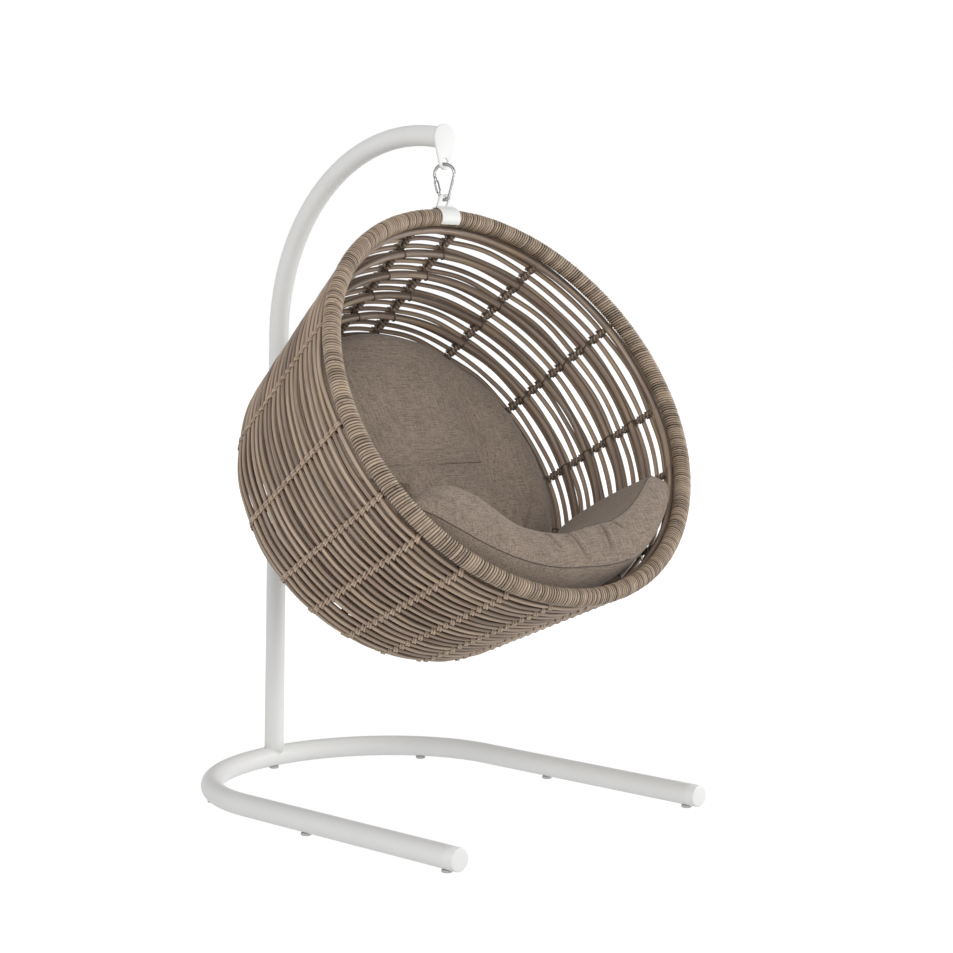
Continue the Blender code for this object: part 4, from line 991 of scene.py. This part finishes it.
def make_ribs():
    """Ribs, and the strand that ties every cane and hoop to them."""
    length = np.linspace(RIB_START, WALL_END + RIB_PAST_WALL, 90)
    for index, angle in enumerate(RIB_ANGLES):
        name = f"rib_{index + 1:02d}"
        strips = Strips()
        add_rib(strips, length, angle, 10)
        add_long_tie(strips, angle)
        add_second_ties(strips, angle)
        add_rope(strips, angle)
        add_bands(strips, angle)
        place_on(strips.make(f"{name}_tied", STRAND), "basket", "rattan", name)


# Back: the open middle, how far short of the centre the ribs stop by turns, and the closing coil
BACK_MIDDLE = 0.05
BACK_RIB_STOPS = (0.06, 0.17)
BACK_RIB_START = 0.024
BACK_TIE_REACH = 0.0098
BACK_TIE_FOOT = 0.001
BACK_TIE_HEIGHT = 0.0192
BACK_TIE_SLANT = 0.005
COIL_POINTS = 200
COIL_TURNS = 3.4
COIL_OUTWARD = 0.0075
COIL_END_RADIUS = 0.008


def make_back():
    """Back of the basket: level turns of cane on ribs that run to the middle, and a small coil."""
    strips = Strips()
    centre = WALL_END + RIM_MEAN + wall(WALL_END, 0.0)[0]
    inner = centre - BACK_MIDDLE
    rows = np.arange(ROW_LENGTHS[-1] + CANE_ROW_PITCH, inner, CANE_ROW_PITCH)
    around = np.linspace(0.0, 360.0, 241)[:-1]
    number = bay(around)[2]
    for row in rows:
        tone = CHANCE.uniform(0.25, 0.75, len(RIB_ANGLES))[number]
        path = on_wall(np.full(len(around), row), CANE_OUTWARD, around)
        strips.add(path, outward_at(row, around), CANE_RADIUS * 1.08, CANE_RADIUS, 12, closed=True, tint=tone)
    turn = np.linspace(-1.0, 1.0, 17)
    along = BACK_TIE_REACH * np.sin(turn * 1.5)
    out = BACK_TIE_FOOT + BACK_TIE_HEIGHT * np.cos(turn * 1.5) ** 0.5
    for index, angle in enumerate(RIB_ANGLES):
        stop = centre - BACK_RIB_STOPS[index % 2]
        length = np.linspace(WALL_END + BACK_RIB_START, stop, 40)
        add_rib(strips, length, angle, 8)
        for row in rows[rows < stop]:
            path = on_wall(row + along, out, angle, BACK_TIE_SLANT * turn)
            middle = on_wall(np.full(len(turn), row), CANE_OUTWARD, angle)
            strand(strips, path, path - middle, BACK_TIE, 0.6)
    turn = np.radians(np.linspace(0.0, 360.0 * COIL_TURNS, COIL_POINTS))
    radius = np.linspace(RIM_MEAN + wall(inner, 0.0)[0], COIL_END_RADIUS, COIL_POINTS)
    depth = BASKET_DEPTH + COIL_OUTWARD
    coil = to_world(radius * np.sin(turn), radius * np.cos(turn) + WALL_DROP * depth, depth)
    strips.add(coil, BASKET_FRONT, *BACK_COIL, 10)
    place_on(strips.make("back_weave", CANE), "basket", "rattan", "back_panel")


# Cushions
SWELL_FRAMES = 20


def points_of(item):
    """Mesh points of an object as an array."""
    places = np.empty(len(item.data.vertices) * 3)
    item.data.vertices.foreach_get("co", places)
    return places.reshape(-1, 3)


def set_points(item, places):
    """Write mesh points back."""
    item.data.vertices.foreach_set("co", places.ravel())
    item.data.update()


def lining(depth):
    """Offset from the rim's ellipse of the face that the cushions lie on, on the straight wall."""
    return WALL_OFFSET_AT_RIM - math.tan(WALL_SLOPE) * depth + PAD_OUTWARD / math.cos(WALL_SLOPE)


def in_basket(item):
    """An object's points in the basket: x, y and depth, with the offset from the ellipse and the angle."""
    local = (points_of(item) - RIM_CENTRE) @ BASKET_AXES.T
    depth = -local[:, 2]
    x = local[:, 0]
    y = local[:, 1] - WALL_DROP * depth
    offset = np.full(len(x), -0.1)
    for _ in range(12):
        wide = RIM_HALF_WIDTH + offset
        tall = RIM_HALF_HEIGHT + offset
        excess = (x / wide) ** 2 + (y / tall) ** 2 - 1.0
        slope = -2.0 * x ** 2 / wide ** 3 - 2.0 * y ** 2 / tall ** 3
        offset = np.clip(offset - excess / np.minimum(slope, -1e-3), -0.5, 0.2)
    angle = np.degrees(np.arctan2(x / (RIM_HALF_WIDTH + offset), y / (RIM_HALF_HEIGHT + offset))) % 360.0
    return x, local[:, 1], depth, offset, angle


def puffed(item, held, limit):
    """Swell a cushion by a cloth run with pressure. Held points stay, and none moves past the limit."""
    start = points_of(item)
    group = item.vertex_groups.new(name="held")
    group.add([int(i) for i in np.flatnonzero(held)], 1.0, "REPLACE")
    cloth = item.modifiers.new("swell", "CLOTH")
    cloth.settings.quality = 6
    cloth.settings.mass = 0.3
    cloth.settings.bending_stiffness = 0.5
    cloth.settings.use_pressure = True
    cloth.settings.uniform_pressure_force = 4.0
    cloth.settings.effector_weights.gravity = 0.0
    cloth.settings.vertex_group_mass = "held"
    cloth.point_cache.frame_start = 1
    cloth.point_cache.frame_end = SWELL_FRAMES
    for number in range(1, SWELL_FRAMES + 1):
        bpy.context.scene.frame_set(number)
    settled(item)
    bpy.context.scene.frame_set(1)
    item.vertex_groups.clear()
    moved = points_of(item) - start
    far = np.linalg.norm(moved, axis=1, keepdims=True)
    limit = np.broadcast_to(limit, len(far))[:, None]
    set_points(item, start + moved * np.minimum(1.0, limit / np.maximum(far, 1e-9)))


def subdivided(item):
    """One smooth subdivision, applied."""
    finer = item.modifiers.new("finer", "SUBSURF")
    finer.levels = 1
    settled(item)
    item.data.shade_smooth()


# Back cushion: the stitched square, the roll of its edge, and the corner that falls back
SQUARE_HALF = 0.20
SQUARE_CENTRE_Y = 0.195
SQUARE_FOOT_Y = -0.005
PAD_INSET = 0.004
PAD_SWELL = 0.010
PAD_ROLL = 0.060
PAD_VOXEL = 0.008
PAD_FACE_BEHIND = 0.02
PAD_RESTING_GAP = 0.014
PAD_FACE_LIMIT = 0.024
PAD_SIDE_LIMIT = 0.010
SEWN_WIDTH = 0.006
SQUARE_DRAW = 0.020
SQUARE_DRAW_WIDTH = 0.022
CREASE_DEPTH = 0.005
CREASE_WIDTH = 0.006
PAD_THREAD = (0.0010, 0.0008)
PAD_THREAD_SPAN = (0.02, 0.20)
PAD_THREAD_OUT = 0.0003
SEAT_MARGIN_ANGLE = 4.0
SEAT_MARGIN_HEIGHT = 0.03
SEAT_MARGIN_DEPTH = 0.002
CORNER_FALL = 0.15
CORNER_X = 0.02
CORNER_WIDTH = 0.26
CORNER_Y = 0.014
CORNER_HEIGHT = 0.07
CORNER_BLEND = 0.05


def stitch(x, y):
    """Distance from the stitched square on the back cushion."""
    up = y - SQUARE_CENTRE_Y
    side = np.abs(np.abs(x) - SQUARE_HALF)
    level = np.abs(np.abs(up) - SQUARE_HALF)
    inside = np.maximum(np.abs(x), np.abs(up)) - SQUARE_HALF
    return np.where(inside < 0.0, np.minimum(side, level), inside)


def drawn_in(x, y, width):
    """How far the stitched square draws the cushion in: most on its lower edge, least on its upper edge."""
    share = np.clip((y - SQUARE_FOOT_Y) / 0.40, 0.0, 1.0)
    return np.exp(-stitch(x, y) / width) * (1.0 - 0.8 * np.sqrt(share))


def hollowed(x, y, depth):
    """Depth of the cushion's face, with its lower left corner falling back below the stitched square."""
    fall = eased(np.clip((CORNER_X - x) / CORNER_WIDTH, 0.0, 1.0))
    below = eased(np.clip((CORNER_Y - y) / CORNER_HEIGHT, 0.0, 1.0))
    corner = BACK_PAD_FRONT_DEPTH - PAD_ROLL + CORNER_FALL * fall * below
    share = np.clip(0.5 + 0.5 * (depth - corner) / CORNER_BLEND, 0.0, 1.0)
    return corner + (depth - corner) * share + CORNER_BLEND * share * (1.0 - share)


def back_cushion_rings():
    """Rings over the back cushion's face, down its side and under it, with the two tips."""
    turn = np.radians(np.linspace(0.0, 360.0, 145)[:-1])
    front = BACK_PAD_FRONT_DEPTH
    first = (front + PAD_ROLL) / math.cos(WALL_SLOPE)
    mid_y = WALL_DROP * front
    rings = []
    offset, depth = wall(first, PAD_OUTWARD - PAD_INSET)
    for share in np.linspace(0.03, 1.0, 44):
        reach = math.sin(share * math.pi / 2)
        x = BACK_PAD_WIDTH_SHARE * (RIM_HALF_WIDTH + offset) * np.sin(turn) * reach
        y = mid_y + ((RIM_HALF_HEIGHT + offset) * np.cos(turn) + WALL_DROP * (depth - front)) * reach
        roll = PAD_ROLL * (1.0 - math.sqrt(max(1.0 - reach ** 12, 0.0)))
        down = front - (BACK_PAD_CROWN - PAD_SWELL) * (1.0 - reach ** 2) + roll
        down = down + SQUARE_DRAW * drawn_in(x, y, SQUARE_DRAW_WIDTH) * (1.0 - reach ** 6)
        rings.append(to_world(x, y, hollowed(x, y, down)))
    for length in np.linspace(first, WALL_END, 24)[1:]:
        offset, depth = wall(length, PAD_OUTWARD - PAD_INSET)
        x = BACK_PAD_WIDTH_SHARE * (RIM_HALF_WIDTH + offset) * np.sin(turn)
        y = (RIM_HALF_HEIGHT + offset) * np.cos(turn) + WALL_DROP * depth
        rings.append(to_world(x, y, hollowed(x, y, depth)))
    offset = wall(WALL_END, 0.0)[0]
    depth = BASKET_DEPTH + PAD_OUTWARD - PAD_INSET
    for share in np.linspace(0.95, 0.05, 12):
        x = BACK_PAD_WIDTH_SHARE * (RIM_HALF_WIDTH + offset) * np.sin(turn) * share
        y = (RIM_HALF_HEIGHT + offset) * np.cos(turn) * share + WALL_DROP * depth
        rings.append(to_world(x, y, depth))
    tip = to_world(0.0, mid_y, front - BACK_PAD_CROWN + PAD_SWELL)
    end = to_world(0.0, WALL_DROP * BASKET_DEPTH, depth)
    return rings, tip, end


def make_back_cushion():
    """Round pad on the basket's back, swollen round a stitched square, and a near-black thread on the
    square's lower edge as painted shade of its crease.
    """
    pad = closed_mesh("back_cushion_linen", *back_cushion_rings(), LINEN)
    blocks = pad.modifiers.new("even", "REMESH")
    blocks.mode = "VOXEL"
    blocks.voxel_size = PAD_VOXEL
    settled(pad)
    face_end = BACK_PAD_FRONT_DEPTH + PAD_FACE_BEHIND
    x, y, depth, offset, angle = in_basket(pad)
    face = wall(np.clip(depth / math.cos(WALL_SLOPE), 0.0, WALL_END), PAD_OUTWARD)[0]
    resting = (face - offset < PAD_RESTING_GAP) | (depth > BASKET_DEPTH + PAD_OUTWARD - PAD_RESTING_GAP)
    sewn = (stitch(x, y) < SEWN_WIDTH) & (depth < face_end)
    puffed(pad, resting | sewn, np.where(depth < face_end, PAD_FACE_LIMIT, PAD_SIDE_LIMIT))

    x, y, depth, offset, angle = in_basket(pad)
    near_seat = np.abs(angle - 180.0) < SEAT_HALF_ANGLE + SEAT_MARGIN_ANGLE
    near_seat &= face - offset < SEAT_THICKNESS + SEAT_MARGIN_HEIGHT
    floor_depth = np.where(near_seat, SEAT_BACK_DEPTH + SEAT_MARGIN_DEPTH, 0.0)
    set_points(pad, to_world(x, y, np.maximum(depth, floor_depth)))
    subdivided(pad)
    x, y, depth, offset, angle = in_basket(pad)
    crease = np.where(depth < face_end, CREASE_DEPTH * drawn_in(x, y, CREASE_WIDTH), 0.0)
    set_points(pad, to_world(x, y, depth + crease))
    place_on(pad, "basket", "linen", "back_cushion")

    tree = BVHTree.FromObject(pad, bpy.context.evaluated_depsgraph_get())
    starts = [Vector(to_world(x, SQUARE_FOOT_Y, 0.0)) for x in np.linspace(*PAD_THREAD_SPAN, 41)]
    hits = [tree.ray_cast(start, Vector(-BASKET_FRONT))[0] for start in starts]
    path = np.array([hit for hit in hits if hit is not None])
    # Near-black thread along the square's lower edge: painted shade of the crease.
    thread = Strips()
    thread.add(path + PAD_THREAD_OUT * BASKET_FRONT, BASKET_FRONT, *PAD_THREAD, 6, tint=0.1)
    place_on(thread.make("back_cushion_stitch_shade", SEAM_SHADE), "basket", "linen")


# Seat cushion's section: points on each side, and the heights of its seams above the wall
UNDER_POINTS = 30
FOOT_POINTS = 14
BAND_POINTS = 16
TOP_POINTS = 40
REAR_POINTS = 14
LOWER_SEAM = UNDER_POINTS + FOOT_POINTS
UPPER_SEAM = LOWER_SEAM + BAND_POINTS
REAR_SEAM = UPPER_SEAM + TOP_POINTS
LOWER_SEAM_HEIGHT = 0.062
UPPER_SEAM_HEIGHT = 0.150
REAR_SEAM_HEIGHT = 0.118
RESTING_HEIGHT = 0.003
SEAT_FOOT_DEPTH = 0.105
SEAT_REAR_ROUND = 0.012
SEAT_CROWN = 0.020
SEAT_FRONT_GAP = 0.003
SEAT_REAR_GAP = 0.010
SEAT_FRONT_DRAW = 0.05
SEAT_REAR_DRAW = 0.07
SEAT_REAR_BULGE = 0.004
BAND_BULGE = 0.007
BAND_UPPER_BULGE = 0.004
BAND_DEPTH = 0.05
BAND_ABOVE_SEAM = 0.008
SEAM_FLAT_ROLL = 0.002
SEAM_FULL_ROLL = 0.028
SEAM_CREST = 0.006
ROLL_START_ANGLE = 165.0
ROLL_FULL_AFTER = 25.0
SEAT_RINGS = 181
SEAT_SWELL_LIMIT = 0.020
SEAT_THREAD = (0.0012, 0.0012)
SEAT_THREAD_OUT = 0.0004
LOWER_THREAD_START = -20.0

# Gathers in the seat's band: start angle and height, end angle and height, depth of the fold
GATHERS = (
    (190.9, 0.150, 187.4, 0.112, 0.0045),
    (180.0, 0.152, 178.2, 0.093, 0.0060),
    (163.6, 0.146, 166.6, 0.078, 0.0055),
    (155.7, 0.138, 154.5, 0.112, 0.0035),
    (237.5, 0.085, 231.0, 0.105, 0.0040),
    (237.0, 0.060, 230.0, 0.078, 0.0030),
)
METRES_PER_DEGREE = 0.0086
FOLD_WIDTH = 0.0042
FOLD_START = 0.015
RIDGE_ASIDE = 0.014
RIDGE_WIDTH = 0.009

# How much higher or lower than even the seat's upper seam lies: angle and lift
LIFTS = np.array((
    (120.0, -0.012), (132.0, -0.014), (143.0, -0.010), (155.0, 0.0), (164.0, 0.015),
    (171.0, 0.020), (180.0, 0.012), (194.0, 0.014), (204.0, 0.016), (209.0, 0.025),
    (216.0, 0.037), (222.0, 0.044), (230.0, 0.035), (235.0, 0.024), (239.0, 0.0),
))


def seat_place(angle, depth, height):
    """Row-frame places at an angle, a depth and a height above the wall's lining."""
    return ring(lining(depth) - height, depth, angle)


def shares(count):
    """Even shares from 0, without the 1 at the end."""
    return np.arange(count) / count


def seat_ring(angle):
    """Ring of points round the seat cushion's section at one angle, from the wall up the front and back."""
    away = min(abs(angle - 180.0) / SEAT_HALF_ANGLE, 0.9995)
    full = (1.0 - away ** 4) ** 0.25 if angle < 180.0 else (1.0 - away ** 9) ** 0.14
    draw_in = 1.0 - (1.0 - away ** 8) ** 0.25
    front = SEAT_FRONT_DEPTH + SEAT_FRONT_GAP + SEAT_FRONT_DRAW * draw_in
    rear = SEAT_BACK_DEPTH - SEAT_REAR_GAP - SEAT_REAR_DRAW * draw_in
    seam_share = 1.0 - away ** 6
    if angle < 180.0:
        seam_share *= max(1.0 - ((180.0 - angle) / 40.0) ** 1.2, 0.45)
    low = RESTING_HEIGHT + (LOWER_SEAM_HEIGHT - RESTING_HEIGHT) * seam_share
    lift = float(np.interp(angle, LIFTS[:, 0], LIFTS[:, 1]))
    high = max((UPPER_SEAM_HEIGHT + lift) * full, low + 0.004 * full + 0.0005)
    rise = high - low
    rear_high = RESTING_HEIGHT + (REAR_SEAM_HEIGHT - RESTING_HEIGHT) * full
    foot_depth = SEAT_FOOT_DEPTH * (0.3 + 0.7 * full)
    rear_foot = rear - SEAT_REAR_ROUND
    rounded = min(max((angle - ROLL_START_ANGLE) / ROLL_FULL_AFTER, 0.0), 1.0) * full
    roll = SEAM_FLAT_ROLL * full + SEAM_FULL_ROLL * rounded
    band = smooth_path(np.array((
        (front, low),
        (front - BAND_BULGE * full, low + 0.40 * rise),
        (front - BAND_UPPER_BULGE * full, low + 0.75 * rise),
        (front + 0.3 * roll, high + SEAM_CREST * rounded - SEAM_FLAT_ROLL * full),
        (front + roll, high),
    )), BAND_POINTS // 4)[:-1]
    under = shares(UNDER_POINTS)
    foot = shares(FOOT_POINTS)
    turn = foot * math.pi / 2
    top = shares(TOP_POINTS)
    back = shares(REAR_POINTS)
    depth = np.concatenate((
        rear_foot + (front + foot_depth - rear_foot) * under,
        front + foot_depth * (1.0 - 0.5 * np.sin(turn) - 0.5 * foot),
        band[:, 0],
        front + roll + (rear - front - roll) * top,
        rear + SEAT_REAR_BULGE * np.sin(math.pi * back) - SEAT_REAR_ROUND * back ** 3,
    ))
    height = np.concatenate((
        np.full(UNDER_POINTS, RESTING_HEIGHT),
        RESTING_HEIGHT + (low - RESTING_HEIGHT) * (0.5 - 0.5 * np.cos(turn) + 0.5 * foot),
        band[:, 1],
        high + (rear_high - high) * top + SEAT_CROWN * full * np.sin(math.pi * top) ** 0.8,
        rear_high + (RESTING_HEIGHT - rear_high) * back,
    ))
    return seat_place(angle, depth, height)


def fold_depth(angle, height):
    """How deep the gathers draw the band in."""
    drawn = np.zeros(len(angle))
    for start, start_height, end, end_height, deep in GATHERS:
        along = np.array(((end - start) * METRES_PER_DEGREE, end_height - start_height))
        span = np.linalg.norm(along)
        along /= span
        x = (angle - start) * METRES_PER_DEGREE
        y = height - start_height
        run = x * along[0] + y * along[1]
        aside = np.abs(x * along[1] - y * along[0])
        fade = np.clip(1.0 - run / span, 0.0, 1.0) * np.clip(1.0 + run / FOLD_START, 0.0, 1.0)
        drawn += 2.6 * deep * np.exp(-(aside / FOLD_WIDTH) ** 2) * fade ** 0.5
        drawn -= 0.9 * deep * np.exp(-((aside - RIDGE_ASIDE) / RIDGE_WIDTH) ** 2) * fade ** 0.5
    return drawn


def make_seat_cushion():
    """Thick pad bent along the basket's lower wall, with a sewn band on its front."""
    even = np.linspace(-1.0, 1.0, 2001)
    crowd = 1.0 + 2.5 * np.exp(-((even + 0.13) / 0.30) ** 4) + 1.5 * even ** 8
    crowd = (crowd.cumsum() - crowd[0]) / (crowd.sum() - crowd[0])
    spread = np.interp(np.linspace(0.0, 1.0, SEAT_RINGS), crowd, even)
    rings = [seat_ring(180.0 + SEAT_HALF_ANGLE * share) for share in spread]
    pad = closed_mesh("seat_cushion_linen", rings, rings[0].mean(axis=0), rings[-1].mean(axis=0), LINEN)
    size = len(rings[0])
    number, place = np.divmod(np.arange(SEAT_RINGS * size), size)
    held = (place <= UNDER_POINTS) | np.isin(place, (LOWER_SEAM, UPPER_SEAM, REAR_SEAM))
    held |= (number < 2) | (number > SEAT_RINGS - 3)
    puffed(pad, np.concatenate((held, (True, True))), SEAT_SWELL_LIMIT)

    x, y, depth, offset, angle = in_basket(pad)
    height = np.maximum(lining(depth) - offset, RESTING_HEIGHT * 0.8)
    set_points(pad, seat_place(angle, np.minimum(depth, SEAT_BACK_DEPTH), height))
    grid = points_of(pad)[:-2].reshape(SEAT_RINGS, size, 3)
    subdivided(pad)
    x, y, depth, offset, angle = in_basket(pad)
    height = lining(depth) - offset
    on_band = (depth < BAND_DEPTH) & (height > LOWER_SEAM_HEIGHT + BAND_ABOVE_SEAM)
    fold = np.where(on_band, fold_depth(angle, height), 0.0)
    set_points(pad, seat_place(angle, depth + fold, height))
    place_on(pad, "basket", "linen", "seat_cushion")

    # Near-black threads along the lower and upper seams: painted shade of the seam grooves.
    thread = Strips()
    last = np.searchsorted(spread, LOWER_THREAD_START / SEAT_HALF_ANGLE)
    for seam, shown in ((LOWER_SEAM, slice(last, -3)), (UPPER_SEAM, slice(3, -3))):
        out = grid[shown, seam] - 0.5 * (grid[shown, seam - 3] + grid[shown, seam + 3])
        out /= np.maximum(np.linalg.norm(out, axis=1, keepdims=True), 1e-6)
        path = smooth_path(grid[shown, seam] + SEAT_THREAD_OUT * out, 3)
        thread.add(path, BASKET_FRONT, *SEAT_THREAD, 6, tint=0.1)
    place_on(thread.make("seat_cushion_seam_shade", SEAM_SHADE), "basket", "linen")


# Camera, floor and light
CAMERA_PLACE = (-4.0743, -4.1806, 1.3773)
CAMERA_RIGHT = (0.69653, -0.71753, 0.0)
CAMERA_UP = (0.05256, 0.05102, 0.99731)
CAMERA_BACK = (-0.71560, -0.69466, 0.07325)
CAMERA_LENS = 76.93
CAMERA_SENSOR = 36.0
FLOOR_RADIUS = 60.0
FLOOR_TONE = (0.25,) * 3
FLOOR_GLOW = ((0.2, (0.84,) * 3), (0.7, PLAIN))
WORLD_GLOW = ((0.43, (0.60,) * 3), (0.465, PLAIN), (0.62, PLAIN), (0.72, (0.42,) * 3))

# Soft boxes: name, place, target, side and watts
SOFTBOXES = (
    ("key", (-3.6, -3.9, 2.7), (0.0, -0.2, 1.1), 2.2, 105.0),
    ("fill", (3.6, -2.6, 1.3), (0.0, -0.3, 1.1), 2.2, 85.0),
    ("top", (0.6, 0.4, 5.2), (0.0, -0.1, 1.2), 2.0, 15.0),
)


def make_studio():
    """Camera at the photograph's angle, pale floor, white surround and soft light."""
    scene = bpy.context.scene
    camera = bpy.data.cameras.new("camera")
    camera.lens = CAMERA_LENS
    camera.sensor_width = CAMERA_SENSOR
    camera.sensor_fit = "HORIZONTAL"
    turn = Matrix((CAMERA_RIGHT, CAMERA_UP, CAMERA_BACK)).transposed().to_4x4()
    scene.camera = linked("camera", camera)
    scene.camera.matrix_world = Matrix.Translation(CAMERA_PLACE) @ turn

    mesh = bpy.data.meshes.new("floor")
    work = bmesh.new()
    bmesh.ops.create_circle(work, cap_ends=True, radius=FLOOR_RADIUS, segments=96)
    work.to_mesh(mesh)
    work.free()
    look = shaded("pale_floor", 0.9)
    reach = look.add("ShaderNodeVectorMath", "Value", {0: look.place()}, operation="LENGTH")
    glow = look.ramp(look.maths("MULTIPLY", reach, 0.2), *FLOOR_GLOW)
    look.shade({"Base Color": FLOOR_TONE, "Emission Strength": 1.0, "Emission Color": glow})
    mesh.materials.append(look.owner)
    floor = linked("floor", mesh)
    floor.visible_diffuse = False

    scene.world = bpy.data.worlds.new("studio")
    look = Look(scene.world)
    height = look.halved(look.axis(look.place("Generated"), "Z"))
    look.put(look.nodes["Background"], {"Color": look.ramp(height, *WORLD_GLOW), "Strength": 1.0})

    for name, place, target, side, power in SOFTBOXES:
        light = bpy.data.lights.new(name, "AREA")
        light.shape = "RECTANGLE"
        light.size = side
        light.size_y = side
        light.energy = power
        item = linked(name, light)
        item.location = place
        item.rotation_euler = (Vector(target) - Vector(place)).to_track_quat("-Z", "Y").to_euler()
    scene.view_settings.view_transform = "Standard"


make_studio()
make_tubes()
make_caps_and_feet()
make_plate()
make_carabiner()
make_bracket()
make_rim()
make_hoops()
make_canes()
make_ribs()
make_back()
make_back_cushion()
make_seat_cushion()

bpy.context.view_layer.update()
